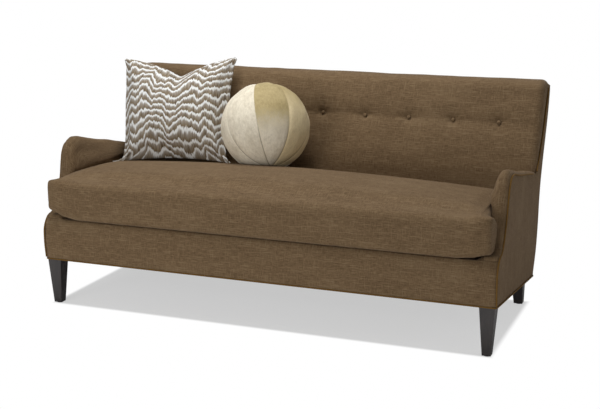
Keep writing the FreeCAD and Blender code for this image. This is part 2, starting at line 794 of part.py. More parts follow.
def front_cover_line(inset):
    """The front cover in side view, from the hem up and over the front rail."""
    top = FRONT + S.front_roll_depth
    swell = S.front_cover_swell
    rise = S.deck_front_height - S.hem_front_height
    turn = FRONT + swell * COVER_RUN_SHARE
    low, middle, high = [(FRONT + swell * out + inset, S.hem_front_height + rise * up)
                         for out, up in BASE_FRONT_SHARES]
    return [(low[0], S.hem_front_height + S.welt_radius), middle, high,
            (FRONT + swell + inset, S.hem_front_height + rise * COVER_TURN_SHARE - inset),
            (turn, deck_at(turn) - inset),
            (top, deck_at(top) - inset)]


def front_cover():
    outer = front_cover_line(ZERO)
    inner = front_cover_line(S.cloth)
    keep("front_rail_cover", side_board("front_rail_cover", outer + inner[::-1], -PANEL_INNER, PANEL_INNER * 2))
    rail_front = FRONT + S.frame_setback
    low = S.cloth + S.deck_pad_thickness
    end = FRONT + S.front_roll_depth
    pad = inner + [(end, deck_at(end) - low), (rail_front, deck_at(rail_front) - low),
                   (rail_front, S.hem_front_height + S.welt_radius)]
    return keep("front_rail_pad", side_board("front_rail_pad", pad, -PANEL_INNER, PANEL_INNER * 2))


# The padded back

def face_line(x, corner):
    """Outer line of the back in side view at x: up the crowned face, over the crest to the rear line.

    At the rounded ends of the back it is drawn in by corner.
    """
    rear = REAR_TOP - S.panel_thickness - S.soft_clearance
    shoulder = face_at(SHOULDER_HEIGHT) + corner
    run = rear - shoulder
    rise = S.shoulder_drop - corner * CREST_CORNER_SHARE
    lift = S.crest_rise * (x / PANEL_INNER.value) ** 2
    crest = [(shoulder + run * a, SHOULDER_HEIGHT + lift * (1 - a) + rise * b) for a, b in CREST_SHARES]
    foot = FACE_FOOT_HEIGHT + S.soft_clearance
    crown = S.back_crown * share_at(BACK_STATION_SHARES, abs(x) / PANEL_INNER.value)
    face = [(face_at(foot) + corner, foot)]
    for up_share, crown_share in BACK_CROWN_SHARES[:-1]:
        z = foot + (SHOULDER_HEIGHT - foot) * up_share
        face.append((face_at(z) + corner - crown * crown_share, z))
    return face + crest


def share_at(table, share):
    """The second share of a table of pairs, where the first one is share."""
    for (first, low), (last, high) in zip(table, table[1:]):
        if share <= last:
            return low + (high - low) * (share - first) / (last - first)
    return table[-1][1]


def back_stations():
    """Places and edge insets across the back's width: its corners are rounded."""
    middle = [(share * PANEL_INNER.value, 0.0) for share, crown in BACK_STATION_SHARES[:-1]]
    radius = S.back_corner_radius.value
    half = PANEL_INNER.value
    steps = 4
    rounded = []
    for k in range(steps + 1):
        angle = math.radians(90 * k / steps)
        rounded.append((half - radius * (1 - math.cos(angle)), radius * (1 - math.sin(angle))))
    right = middle + rounded[::-1]
    return [(-x, inset) for x, inset in right[:0:-1]] + right


def arm_notch(gap):
    """Cutters for what the arms take from the lower corners of the back."""
    crown = plain(arm_profile(ZERO, ZERO))[-2:]
    (ya, za), (yb, zb) = crown
    slope = (zb - za) / (yb - ya)
    reach = S.overrun.value
    start = ya
    end = REAR_TOP.value + reach
    floor = FACE_FOOT_HEIGHT.value - S.overrun.value
    top = za + gap
    points = [(start, floor), (start, top), (end, top + slope * (end - ya)), (end, floor)]
    inner = ARM_INNER.value - gap
    outer = PANEL_INNER.value + reach
    right = side_prism(inner, outer, points)
    return [right, mirror_x(right)]


def button_frames():
    """The point of the face behind each button, and the face's outward direction."""
    height = BUTTON_ROW
    up_share = ((height - FACE_FOOT_HEIGHT) / (SHOULDER_HEIGHT - FACE_FOOT_HEIGHT)).value
    crown = S.back_crown.value * share_at(BACK_CROWN_SHARES, up_share)
    y = face_at(height).value
    lean = math.atan(FACE_SLOPE.value)
    outward = FreeCAD.Vector(0, -math.cos(lean), math.sin(lean))
    first = (BUTTON_COUNT - 1) / 2
    points = []
    for k in range(BUTTON_COUNT):
        x = S.button_spacing.value * (k - first)
        swell = crown * share_at(BACK_STATION_SHARES, abs(x) / PANEL_INNER.value)
        points.append(FreeCAD.Vector(x, y - swell, height.value))
    return points, outward


def channel_tools(inset):
    """The long channel of the button row, and a dimple round each button."""
    points, outward = button_frames()
    half = PANEL_INNER.value + S.overrun.value
    radius = S.channel_radius.value
    axis = points[0] + outward * (radius - S.channel_depth.value)
    start = FreeCAD.Vector(-half, axis.y, axis.z)
    tools = [Part.makeCylinder(radius + inset, 2 * half, start, FreeCAD.Vector(1, 0, 0))]
    dimple = S.dimple_radius.value
    for point in points:
        tools.append(Part.makeSphere(dimple + inset, point + outward * (dimple - S.dimple_depth.value)))
    return tools


def back_form(inset, foot, closing, width_inset):
    """The back's body: its rounded outer line, inset, from the foot height up, and closed behind."""
    wires = []
    for x, corner in back_stations():
        moved = offset_line(plain(face_line(x, corner)), inset)
        moved[0] = between(moved[0], moved[1], foot)
        shift = math.copysign(width_inset, -x) if x else 0.0
        wires.append(side_wire(x + shift, moved + closing))
    form = ruled_loft(wires)
    return form.cut(arm_notch(S.soft_clearance.value + inset) + channel_tools(inset))


def back_padding():
    cloth = S.cloth.value
    rear = plain(rear_line(S.panel_thickness))
    foot = (FACE_FOOT_HEIGHT + S.soft_clearance).value
    outer = back_form(0.0, foot, rear[-2:2:-1] + [(rear[3][0], foot)], 0.0)
    far = REAR_TOP.value + S.overrun.value
    inner = back_form(cloth, foot - cloth, [(far, SHOULDER_HEIGHT.value), (far, foot - cloth)], cloth)
    gap = S.strap_thickness.value + S.soft_clearance.value
    over = FRAME_TOP + S.cloth
    front_plane = [(frame_at(over).value - gap, over.value), (frame_at(FACE_FOOT_HEIGHT).value - gap, foot)]
    low = (frame_at(FACE_FOOT_HEIGHT - S.overrun).value - gap, (FACE_FOOT_HEIGHT - S.overrun).value)
    frame_space = side_prism(-FRAME_OUTER.value, FRAME_OUTER.value,
                             [front_plane[0], low, (far, low[1]), (far, over.value)])
    holes = twines(S.twine_radius.value + S.twine_clearance.value)
    soft("inside_back_cover", outer.cut([inner, frame_space] + holes))
    rear_top = between(rear[-2], rear[-1], over.value)
    closing = [(rear_top[0] - cloth, over.value)] + front_plane
    foam = back_form(cloth, foot, closing, cloth)
    soft("back_foam", foam.cut(holes))


def twines(radius):
    """The cords that pull the buttons in, from the button to the anchor behind the webbing."""
    points, outward = button_frames()
    start = S.dimple_depth.value - button_sag()
    cords = []
    for point in points:
        cords.append(Part.makeCylinder(radius, anchor_depth(point) - start, point - outward * start,
                                       outward * -1))
    return cords


def button_sag():
    """How far a button's flat back stands off the bottom of its round dimple."""
    radius = S.dimple_radius.value
    seat = S.button_radius.value
    return radius - math.sqrt(radius ** 2 - seat ** 2) + S.soft_clearance.value


def anchor_depth(point):
    """Distance along a twine from the face to its anchor, clear of the back of the webbing straps."""
    outward = button_frames()[1]
    slope = FACE_SLOPE.value + PAD_SLOPE.value
    plane = frame_at(BUTTON_ROW).value
    tilt = S.anchor_radius.value * abs(PAD_SLOPE.value)
    return (plane - point.y) / (-outward.y + slope * outward.z) + tilt + S.soft_clearance.value


def buttons():
    points, outward = button_frames()
    depth = S.dimple_depth.value - button_sag()
    radius = S.button_radius.value
    dome = S.button_dome.value
    slab = Part.makeCylinder(radius, dome * BUTTON_RIM_SHARE)
    sag = dome * (1 - BUTTON_RIM_SHARE)
    ball = (radius ** 2 + sag ** 2) / (2 * sag)
    cap = Part.makeSphere(ball, FreeCAD.Vector(0, 0, dome - ball))
    cap = cap.common(Part.makeCylinder(radius, dome, FreeCAD.Vector(0, 0, dome * BUTTON_RIM_SHARE)))
    button = slab.fuse(cap).removeSplitter()
    turn = FreeCAD.Rotation(FreeCAD.Vector(0, 0, 1), outward)
    row = []
    for point in points:
        copy = button.copy()
        copy.Placement = FreeCAD.Placement(point - outward * depth, turn)
        row.append(copy)
    soft("buttons", Part.makeCompound(row))
    soft("button_twines", Part.makeCompound(twines(S.twine_radius.value)))
    anchors = []
    for point in points:
        anchors.append(Part.makeCylinder(S.anchor_radius.value, S.anchor_thickness.value,
                                         point - outward * anchor_depth(point), outward * -1))
    soft("button_anchors", Part.makeCompound(anchors))


def back_webbing():
    """Upright straps on the front of the back's rails, one behind each button."""
    low = FACE_FOOT_HEIGHT + S.cloth
    high = FRAME_TOP - S.cloth
    strap = S.strap_thickness
    points = plain([(frame_at(low) - strap, low), (frame_at(high) - strap, high),
                    (frame_at(high), high), (frame_at(low), low)])
    holes = twines(S.twine_radius.value + S.twine_clearance.value)
    half = S.strap_width.value / 2
    straps = []
    for centre, hole in zip(button_frames()[0], holes):
        straps.append(side_prism(centre.x - half, centre.x + half, points).cut(hole))
    return soft("back_webbing", Part.makeCompound(straps))


def outside_back_cover():
    outer = rear_line(ZERO)
    inner = rear_line(S.panel_thickness)
    hem = S.hem_rear_height + S.welt_radius + S.soft_clearance
    outer[0] = between(outer[0], outer[1], hem)
    inner[0] = between(inner[0], inner[1], hem)
    return keep("outside_back_cover",
                side_board("outside_back_cover", outer + inner[::-1], -PANEL_INNER, PANEL_INNER * 2))


# Arms

def arm_form(inset, open_side):
    """The right arm's body, rounded over its top and front, between the seat and the side panel."""
    thickness = S.arm_thickness.value - 2 * inset
    wires = []
    for place_share, front_share, top_share in ARM_STATION_SHARES:
        profile = arm_profile(S.arm_front_round * front_share + inset, S.arm_top_round * top_share + inset)
        points = plain(profile) + arm_foot()
        if open_side:
            end, foot, lip = points[-3:]
            reach = S.overrun.value
            points = points[:-2] + [(end[0] + reach, end[1]), (foot[0] + reach, foot[1]), lip]
        wires.append(side_wire(ARM_INNER.value + inset + place_share * thickness, points))
    if open_side:
        wires.append(side_wire(PANEL_INNER.value + S.overrun.value, points))
    return ruled_loft(wires)


def arm_foot():
    """The arm's lower rear corner, on the deck, before the back frame."""
    clear = S.strap_thickness
    foot_y = frame_at(deck_at(frame_at(FACE_FOOT_HEIGHT))) - clear
    return plain([(foot_y, deck_at(foot_y) + S.soft_clearance),
                  (FRONT + S.front_roll_depth, deck_at(FRONT + S.front_roll_depth) + S.soft_clearance)])


def arm_padding():
    cloth = S.cloth.value
    outer = arm_form(0.0, False)
    inner = arm_form(cloth, True)
    below = side_prism(ARM_INNER.value + cloth, PANEL_INNER.value + S.overrun.value,
                       arm_underside(cloth))
    cover = outer.cut([inner, below])
    front, rear_end = arm_frame_line()
    foot_y = front[0][0] - S.frame_setback
    envelope = plain([(foot_y, front[0][1] - S.overrun * 4), (foot_y, deck_at(foot_y) - SPRING_DROP)] + front
                     + arm_profile(S.arm_foam_front, S.arm_foam_top)[8:])
    envelope += [(REAR_TOP.value, envelope[-1][1]), (REAR_TOP.value, envelope[0][1])]
    frame_space = side_prism((FRAME_OUTER - S.board).value - S.soft_clearance.value,
                             PANEL_INNER.value + S.overrun.value, envelope)
    foam = arm_form(cloth, False).cut(frame_space)
    soft("inside_arm_cover_right", cover)
    soft("inside_arm_cover_left", mirror_x(cover))
    soft("arm_foam_right", foam)
    soft("arm_foam_left", mirror_x(foam))


def arm_underside(inset):
    """What opens the arm cover below, so that it is a shell over its foam."""
    start = FRONT + S.front_roll_depth
    end = frame_at(FACE_FOOT_HEIGHT) + S.overrun
    rise = S.cloth * 3
    return plain([(start, deck_at(start) + rise), (end, deck_at(end) + rise),
                  (end, deck_at(end) - S.overrun), (start, deck_at(start) - S.overrun)])


def strip_line():
    """Path of the welt up the side of the back, from the arm to the top."""
    rear = rear_line(ZERO)
    width = S.strip_width
    low_height = S.deck_front_height + (S.arm_height - S.deck_front_height) * STRIP_FOOT_SHARE
    high = S.back_height - S.back_corner_radius
    points = []
    for up_share, width_share in STRIP_SHARES:
        z = low_height + (high - low_height) * up_share
        on_rear = between(rear[5], rear[6], z)
        points.append((on_rear[0] - width * width_share, z))
    return points


def arm_edge_line():
    """Path of the welt up the front of the base and over the arm, to the side of the back."""
    radius = S.welt_radius
    start = FRONT + radius
    rise = S.deck_front_height - S.hem_front_height
    front = [(start + S.front_cover_swell * out, S.hem_front_height + rise * up) for out, up in BASE_FRONT_SHARES]
    front_share, top_share = ARM_STATION_SHARES[-1][1:]
    arm = arm_profile(S.arm_front_round * front_share + radius, S.arm_top_round * top_share + radius)
    return front + arm[1:-1]


def side_panels():
    """The outside panels, just inside the welts, from the hem to the top of the back."""
    edge = (S.welt_radius + S.soft_clearance).value
    line = offset_line(plain(arm_edge_line() + strip_line()), edge)
    rear = plain(rear_line(ZERO))
    top = between(rear[-2], rear[-1], line[-1][1])
    low = between(rear[0], rear[1], S.hem_rear_height.value + edge)
    front = between(line[0], line[1], hem_at(FRONT + S.welt_radius).value + edge)
    outline = [front] + line[1:] + [top] + rear[-2:0:-1] + [low]
    panel = side_prism(PANEL_INNER.value, PANEL_OUTER.value, outline)
    soft("outside_arm_panel_right", panel)
    soft("outside_arm_panel_left", mirror_x(panel))


# Welts

def side_welts():
    """Piping along the arm's front and top, and up the side of the back."""
    radius = S.welt_radius.value
    x = WELT_PLACE.value
    arm = plain(arm_edge_line())
    strip = plain(strip_line())
    start = between(arm[0], arm[1], hem_at(FRONT + S.welt_radius).value + radius + S.soft_clearance.value)
    bend = radius * WELT_BEND_SHARE
    low_end = between(strip[0], strip[1], strip[0][1] + bend)
    right = [rounded_tube([(x, y, z) for y, z in [start] + arm[1:] + strip[:1]], bend, radius),
             rounded_tube([(x, y, z) for y, z in [low_end] + strip[1:]], bend, radius)]
    soft("side_welt_right", Part.makeCompound(right))
    soft("side_welt_left", Part.makeCompound([mirror_x(tube) for tube in right]))


def hem_welt():
    """Piping round the hem: across the front, back along both sides, and across the rear."""
    radius = S.welt_radius
    x = WELT_PLACE.value
    front = FRONT + radius * HEM_SETBACK_SHARE
    rear = REAR_HEM - radius * HEM_SETBACK_SHARE
    front_z = S.hem_front_height.value
    rear_z = S.hem_rear_height.value
    points = [(0, front.value, front_z), (x, front.value, front_z), (x, rear.value, rear_z),
              (0, rear.value, rear_z)]
    right = rounded_tube(points, radius.value * WELT_BEND_SHARE, radius.value)
    return soft("hem_welt", right.fuse(mirror_x(right)).removeSplitter())


# Legs

def leg(node, side, end):
    """A square tapered leg with a bolt hole in its top and a pin hole in its foot."""
    body = doc.addObject("PartDesign::Body", node + "_blank")
    if end == "front":
        x = PANEL_OUTER - S.leg_side_inset + S.panel_thickness
        top_y = FRONT + S.front_leg_setback + S.leg_top_width / 2
        foot_y = top_y
        height = S.front_leg_height
        foot_width = S.leg_foot_width
        top_width = S.leg_top_width
    else:
        x = PANEL_OUTER - S.rear_leg_side_inset + S.panel_thickness
        top_y = REAR_LEG_PLACE
        foot_y = REAR_LEG_PLACE + S.rear_leg_rake
        height = S.rear_leg_height
        foot_width = S.rear_leg_foot_width
        top_width = S.rear_leg_top_width
    x = x if side > 0 else -x
    sections = []
    for mark, y, width, z in (("foot", foot_y, foot_width, S.glide_thickness),
                              ("top", top_y, top_width, height)):
        half = width / 2
        corners = [(x - half, y - half), (x + half, y - half), (x + half, y + half), (x - half, y + half)]
        sketch = outline_sketch(body, "%s_%s" % (node, mark), "XY_Plane", corners)
        sketch.setExpression("AttachmentOffset.Base.z", z.text)
        sections.append(sketch)
    loft = body.newObject("PartDesign::AdditiveLoft", node + "_taper")
    loft.Profile = sections[0]
    loft.Sections = [sections[1]]
    loft.Ruled = True
    bolt_x, bolt_y, bolt_z = leg_bolt_places()[end]
    bolt_x = bolt_x if side > 0 else -bolt_x
    hole = rod(node + "_bolt_hole", S.bolt_radius + S.bolt_clearance, S.bolt_reach + S.overrun,
               bolt_x, bolt_y, bolt_z - S.bolt_reach - S.bolt_clearance)
    pin = rod(node + "_pin_hole", S.glide_pin_radius + S.bolt_clearance,
              S.glide_pin_length + S.bolt_clearance + S.overrun, x, foot_y, S.glide_thickness - S.overrun)
    return keep(node, cut(node + "_drilled", body, [fused(node + "_holes", [hole, pin])])), (x, foot_y)


def legs():
    glides = []
    bolts = []
    nuts = []
    for end in ("front", "rear"):
        for side, mark in ((1, "right"), (-1, "left")):
            node = "leg_%s_%s" % (end, mark)
            piece, (x, y) = leg(node, side, end)
            disc = rod(node + "_glide_disc", S.glide_radius, S.glide_thickness, x, y, ZERO)
            pin = rod(node + "_glide_pin", S.glide_pin_radius, S.glide_pin_length, x, y, S.glide_thickness)
            glides.append(fused(node + "_glide", [disc, pin]))
            bolt_x, bolt_y, bolt_z = leg_bolt_places()[end]
            bolt_x = bolt_x if side > 0 else -bolt_x
            bolts.append(rod(node + "_bolt", S.bolt_radius, S.bolt_reach * 2,
                             bolt_x, bolt_y, bolt_z - S.bolt_reach))
            flange = rod(node + "_nut_flange", S.nut_flange_radius, S.nut_flange_thickness,
                         bolt_x, bolt_y, bolt_z)
            barrel = rod(node + "_nut_barrel", S.nut_barrel_radius, S.nut_barrel_length,
                         bolt_x, bolt_y, bolt_z)
            bore = rod(node + "_nut_bore", S.bolt_radius + S.bolt_clearance / 2,
                       S.nut_barrel_length + S.overrun, bolt_x, bolt_y, bolt_z - S.overrun / 2)
            nuts.append(cut(node + "_nut", fused(node + "_nut_blank", [flange, barrel]), [bore]))
    keep("leg_glides", group("leg_glides", glides))
    keep("leg_bolts", group("leg_bolts", bolts))
    keep("leg_nuts", group("leg_nuts", nuts))


# Seat cushion

def cushion_section(x_share, rise_share, drop_share, end_share, inset):
    """One slice of the cushion: flat below, rolled in front, crowned on top, flat behind."""
    square = x_share ** 2
    fall = S.cushion_edge_fall.value * square + S.ear_top_drop.value * drop_share
    crown = S.cushion_crown.value - S.cushion_crown_fall.value * square
    low_front = deck_at(FRONT + S.cushion_front_roll).value + S.soft_clearance.value
    low_front += S.ear_rise.value * rise_share + inset
    top_front = S.deck_front_height.value + S.cushion_front_height.value - fall - inset
    rear_y = (FACE_FOOT - S.cushion_rear_gap).value
    low_rear = deck_at(FACE_FOOT - S.cushion_rear_gap).value + S.soft_clearance.value
    rear_slope = CUSHION_REAR_SLOPE.value
    top_rear = low_rear + S.cushion_rear_height.value - fall
    nose = []
    for (reach, rise), (end_reach, end_rise) in zip(CUSHION_NOSE_SHARES, CUSHION_END_SHARES):
        reach_share = reach + (end_reach - reach) * end_share
        height_share = rise + (end_rise - rise) * end_share
        nose.append(FreeCAD.Vector(0, FRONT.value - S.cushion_reach.value * reach_share + inset,
                                   low_front + (top_front - low_front) * height_share))
    bottom_rear = FreeCAD.Vector(0, rear_y + rear_slope * inset - inset, low_rear + inset)
    upper_rear = FreeCAD.Vector(0, rear_y + rear_slope * (top_rear - inset - low_rear) - inset, top_rear - inset)
    crest = (nose[-1] + upper_rear) / 2 + FreeCAD.Vector(0, 0, crown)
    return nose + [crest, upper_rear, bottom_rear]


def cushion_form(inset):
    """The cushion's crowned body with its ears round the arms."""
    half = S.cushion_half_length.value - inset
    wires = []
    stations = [(-row[0],) + row[1:] for row in CUSHION_STATION_SHARES[:0:-1]] + CUSHION_STATION_SHARES
    for x_share, rise_share, drop_share, end_share in stations:
        shift = FreeCAD.Vector(x_share * half, 0, 0)
        points = [p + shift for p in cushion_section(x_share, rise_share, drop_share, end_share, inset)]
        edges = [Part.Arc(*points[k:k + 3]).toShape() for k in (0, 2, 4, 6)]
        edges.append(Part.LineSegment(points[8], points[9]).toShape())
        edges.append(Part.LineSegment(points[9], points[0]).toShape())
        wires.append(Part.Wire(edges))
    form = ruled_loft(wires)
    gap = S.soft_clearance.value * 2 + inset
    arm = plain(arm_profile(-S.soft_clearance * 2 - inset, ZERO))
    far = REAR_TOP.value
    low = S.hem_rear_height.value
    front = [(y, z + gap * EAR_GAP_SHARE) for y, z in arm[:7]]
    notch = [(arm[0][0], low)] + front + [(arm[6][0], S.back_height.value), (far, S.back_height.value),
                                          (far, low)]
    right = side_prism(ARM_INNER.value - gap, HALF_WIDTH.value + S.overrun.value, notch)
    return form.cut([right, mirror_x(right)])


def zip_middle():
    """The middle of the cushion's rear boxing in side view, and how it leans."""
    rear_y = FACE_FOOT - S.cushion_rear_gap
    slope = CUSHION_REAR_SLOPE
    z = deck_at(rear_y) + S.soft_clearance + S.cushion_rear_height / 2
    return rear_y + slope * (z - deck_at(rear_y) - S.soft_clearance), z, slope


def zip_outline(depth_start, depth_end, height):
    """A slice of the rear boxing: from one depth to another, height tall, about its middle."""
    y, z, slope = zip_middle()
    half = height / 2
    return [(y - depth_start - slope * half, z - half), (y - depth_start + slope * half, z + half),
            (y - depth_end + slope * half, z + half), (y - depth_end - slope * half, z - half)]


def seat_cushion():
    cloth = S.cloth.value
    wrap = S.wrap_thickness.value + cloth
    outer = cushion_form(0.0)
    middle = cushion_form(cloth)
    inner = cushion_form(wrap)
    slot_half = (S.zip_half_length + S.zip_slot_height / 2).value
    deep = S.zip_tape_depth + S.zip_tape_thickness
    slot = side_prism(-slot_half, slot_half, plain(zip_outline(-S.overrun / 4, deep + S.soft_clearance,
                                                               S.zip_slot_height)))
    soft("seat_cushion_cover", outer.cut([middle, slot]))
    soft("seat_cushion_wrap", middle.cut([inner, slot]))
    soft("seat_cushion_core", inner)
    tape_half = S.zip_half_length + S.zip_slot_height / 2 - S.soft_clearance
    tape = side_board("zip_tape", zip_outline(S.zip_tape_depth, deep, S.zip_slot_height - S.soft_clearance * 2),
                      -tape_half, tape_half * 2)
    chain_top = S.zip_tape_depth - S.zip_chain_height
    chain = side_board("zip_teeth", zip_outline(chain_top, S.zip_tape_depth + S.zip_tape_thickness / 2,
                                                S.zip_chain_width), -S.zip_half_length, S.zip_half_length * 2)
    keep("cushion_zip_chain", fused("cushion_zip_chain", [tape, chain]))
    slider_depth = S.zip_tape_depth - S.slider_clearance
    start = S.slider_length - S.zip_half_length
    slider = side_board("slider_block", zip_outline(slider_depth - S.slider_thickness, slider_depth,
                                                    S.slider_width), start, S.slider_length)
    way = side_board("slider_way", zip_outline(chain_top - S.slider_clearance, slider_depth + S.overrun / 4,
                                               S.zip_chain_width + S.slider_clearance * 2),
                     start - S.overrun, S.slider_length + S.overrun * 2)
    keep("cushion_zip_slider", cut("slider_cut", slider, [way]))


# Pillows

def leaning_place(setback, height):
    """A pillow's place along Y: its setback, moved with the back where the back leans more or less."""
    lean_change = (FACE_LEAN - S.face_lean) / (SHOULDER_HEIGHT - FACE_FOOT_HEIGHT)
    return (FRONT + setback + lean_change * (height - FACE_FOOT_HEIGHT)).value


def pillow_section(u, thickness, low, high):
    """A slice of the square pillow: two arcs that meet at the seams."""
    middle = (low + high) / 2
    bottom = FreeCAD.Vector(u, 0, low)
    top = FreeCAD.Vector(u, 0, high)
    front = Part.Arc(bottom, FreeCAD.Vector(u, -thickness / 2, middle), top)
    rear = Part.Arc(top, FreeCAD.Vector(u, thickness / 2, middle), bottom)
    return Part.Wire([front.toShape(), rear.toShape()])


def pillow_form(inset):
    half_width = S.pillow_width.value / 2 - inset
    half_height = S.pillow_height.value / 2 - inset
    swell = S.pillow_thickness.value - S.pillow_edge.value
    stations = [(-row[0],) + row[1:] for row in PILLOW_STATION_SHARES[:0:-1]] + PILLOW_STATION_SHARES
    wires = []
    for place_share, swell_share, dent_share in stations:
        thickness = S.pillow_edge.value + swell * swell_share - 2 * inset
        waist = S.pillow_waist.value * (1 - place_share ** 2)
        high = half_height - S.pillow_dent.value * dent_share
        wires.append(pillow_section(place_share * half_width, thickness, waist - half_height, high))
    sides = []
    for place_share, swell_share in [(-row[0], row[1]) for row in PILLOW_SIDE_SHARES[:0:-1]] + PILLOW_SIDE_SHARES:
        half = half_width - S.pillow_side_waist.value * (1 - place_share ** 2)
        thickness = S.pillow_thickness.value * swell_share - 2 * inset
        v = place_share * (half_height + inset)
        left = FreeCAD.Vector(-half, 0, v)
        right = FreeCAD.Vector(half, 0, v)
        front = Part.Arc(left, FreeCAD.Vector(0, -thickness / 2, v), right)
        rear = Part.Arc(right, FreeCAD.Vector(0, thickness / 2, v), left)
        sides.append(Part.Wire([front.toShape(), rear.toShape()]))
    return ruled_loft(wires).common(ruled_loft(sides))


def square_pillow():
    cloth = S.pillow_cloth.value
    outer = pillow_form(0.0)
    inner = pillow_form(cloth)
    turn = FreeCAD.Rotation(FreeCAD.Vector(0, 0, 1), PILLOW_TURN)
    lean = FreeCAD.Rotation(FreeCAD.Vector(1, 0, 0), -PILLOW_LEAN)
    roll = FreeCAD.Rotation(FreeCAD.Vector(0, 1, 0), -PILLOW_ROLL)
    middle = FreeCAD.Vector(-S.pillow_place.value, leaning_place(S.pillow_setback, S.pillow_middle_height),
                            S.pillow_middle_height.value)
    placement = FreeCAD.Placement(middle, turn.multiply(lean).multiply(roll))
    outer.Placement = placement
    inner.Placement = placement
    seat = seat_clearance()
    soft("square_pillow_cover", outer.cut([inner] + seat))
    soft("square_pillow_filling", inner.cut(seat))


def seat_clearance():
    """The seat cushion and the left arm, grown by the clearance that soft pieces keep."""
    gap = -S.soft_clearance.value
    return [cushion_form(gap), mirror_x(arm_form(gap, False))]


def ball_pillow():
    centre = FreeCAD.Vector(-S.ball_place.value, leaning_place(S.ball_setback, S.ball_middle_height),
                            S.ball_middle_height.value)
    radius = S.ball_radius.value
    cloth = S.pillow_cloth.value
    outer = Part.makeSphere(radius, centre)
    inner = Part.makeSphere(radius - cloth, centre)
    seat = cushion_form(-S.soft_clearance.value)
    soft("ball_pillow_cover", outer.cut([inner, seat]))
    soft("ball_pillow_filling", inner.cut(seat))


def build():
    front_rail()
    side_rails()
    back_rail()
    seat_stretchers()
    corner_blocks()
    rear_leg_blocks()
    back_posts()
    back_rails()
    back_uprights()
    arm_frames()
    seat_springs()
    spring_clips()
    deck()
    dust_cover()
    front_cover()
    back_padding()
    buttons()
    back_webbing()
    outside_back_cover()
    arm_padding()
    side_panels()
    side_welts()
    hem_welt()
    legs()
    seat_cushion()
    square_pillow()
    ball_pillow()
    doc.recompute()


def write_parts():
    """Checks every object, then writes one STEP file per sub-part."""
    failed = [o.Name for o in doc.Objects if "Invalid" in o.State or "Error" in o.State]
    if failed:
        raise RuntimeError("these objects failed: %s" % ", ".join(failed))
    for node, piece in PIECES.items():
        shape = piece.Shape
        if shape.isNull() or not shape.isValid() or not shape.Solids:
            raise RuntimeError("%s has no valid solid" % node)
    os.makedirs("parts", exist_ok=True)
    for node, piece in PIECES.items():
        piece.Shape.exportStep(os.path.join("parts", node + ".step"))
        print("%-26s solids %2d  volume %.1f cm3" % (node, len(piece.Shape.Solids), piece.Shape.Volume / 1000))


build()
write_parts()
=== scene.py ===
# %% [markdown]
# # A settee with a buttoned back, a bench cushion and two pillows
# The settee's boards, bolts and legs come from its CAD model, in metres. What an upholsterer would
# sew is built here: covers, piping, buttons, the seat cushion and the pillows.

# %% Load the frame
import math

import bmesh
import bpy
import numpy as np
from mathutils import Euler, Matrix, Vector
from mathutils.bvhtree import BVHTree


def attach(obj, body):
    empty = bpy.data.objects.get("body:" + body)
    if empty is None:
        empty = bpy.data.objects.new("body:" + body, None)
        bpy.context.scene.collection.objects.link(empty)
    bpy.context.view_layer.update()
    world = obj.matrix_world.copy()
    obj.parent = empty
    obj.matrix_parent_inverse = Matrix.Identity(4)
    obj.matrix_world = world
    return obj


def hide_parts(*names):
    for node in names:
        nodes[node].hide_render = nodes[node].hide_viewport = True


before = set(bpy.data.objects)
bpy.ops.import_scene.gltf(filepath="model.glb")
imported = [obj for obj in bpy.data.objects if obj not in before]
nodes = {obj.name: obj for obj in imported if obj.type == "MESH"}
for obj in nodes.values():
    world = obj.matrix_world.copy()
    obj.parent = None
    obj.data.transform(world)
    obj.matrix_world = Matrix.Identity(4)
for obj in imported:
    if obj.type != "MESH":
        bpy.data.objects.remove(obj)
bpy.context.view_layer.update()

# %% [markdown]
# ## The camera
# The camera stands to the right of the settee's middle and looks slightly down. Its place and turn
# were worked out from the hem, the legs and the back's top edge in the photograph.

# %% Camera
scene = bpy.context.scene
camera = bpy.data.objects.new("Camera", bpy.data.cameras.new("Camera"))
scene.collection.objects.link(camera)
camera.data.lens = 72.93
camera.data.sensor_width = 36.0
camera.location = (1.7331, -4.4626, 1.4945)
camera.rotation_euler = Euler((math.radians(76.995), 0.0, math.radians(21.15)))
scene.camera = camera

# %% [markdown]
# ## Lines and sheets
# Upholstery follows a few side views: the hem, the seat deck, the face of the back and the arm. A
# smooth curve goes through given points of each, and rows of such points make a sheet.


# %% Curves through points
def gathered(*parts):
    """Coordinates of points, from arrays that may be whole, one row, one column or one number."""
    return np.stack(np.broadcast_arrays(*parts), axis=-1)


def distances(points):
    """How far along a line each of its points lies."""
    return np.r_[0.0, np.cumsum(np.linalg.norm(np.diff(points, axis=0), axis=1))]


def directions(line):
    """The unit direction of a line at each of its points."""
    slope = np.gradient(line, axis=0)
    return slope / np.linalg.norm(slope, axis=-1, keepdims=True)


def through(points, count):
    """Evenly spaced points on a smooth curve through the given ones, along the first axis."""
    points = np.asarray(points, dtype=float)
    flat = points.reshape(len(points), -1)
    middle = points if points.ndim == 2 else points[:, points.shape[1] // 2]
    reach = distances(middle)
    slope = np.gradient(flat, reach, axis=0)
    wanted = np.linspace(0.0, reach[-1], count)
    k = np.clip(np.searchsorted(reach, wanted, side="right") - 1, 0, len(reach) - 2)
    span = (reach[k + 1] - reach[k])[:, None]
    s = (wanted - reach[k])[:, None] / span
    curve = ((2 * s ** 3 - 3 * s ** 2 + 1) * flat[k] + (s ** 3 - 2 * s ** 2 + s) * span * slope[k]
             + (3 * s ** 2 - 2 * s ** 3) * flat[k + 1] + (s ** 3 - s ** 2) * span * slope[k + 1])
    return curve.reshape((count,) + points.shape[1:])


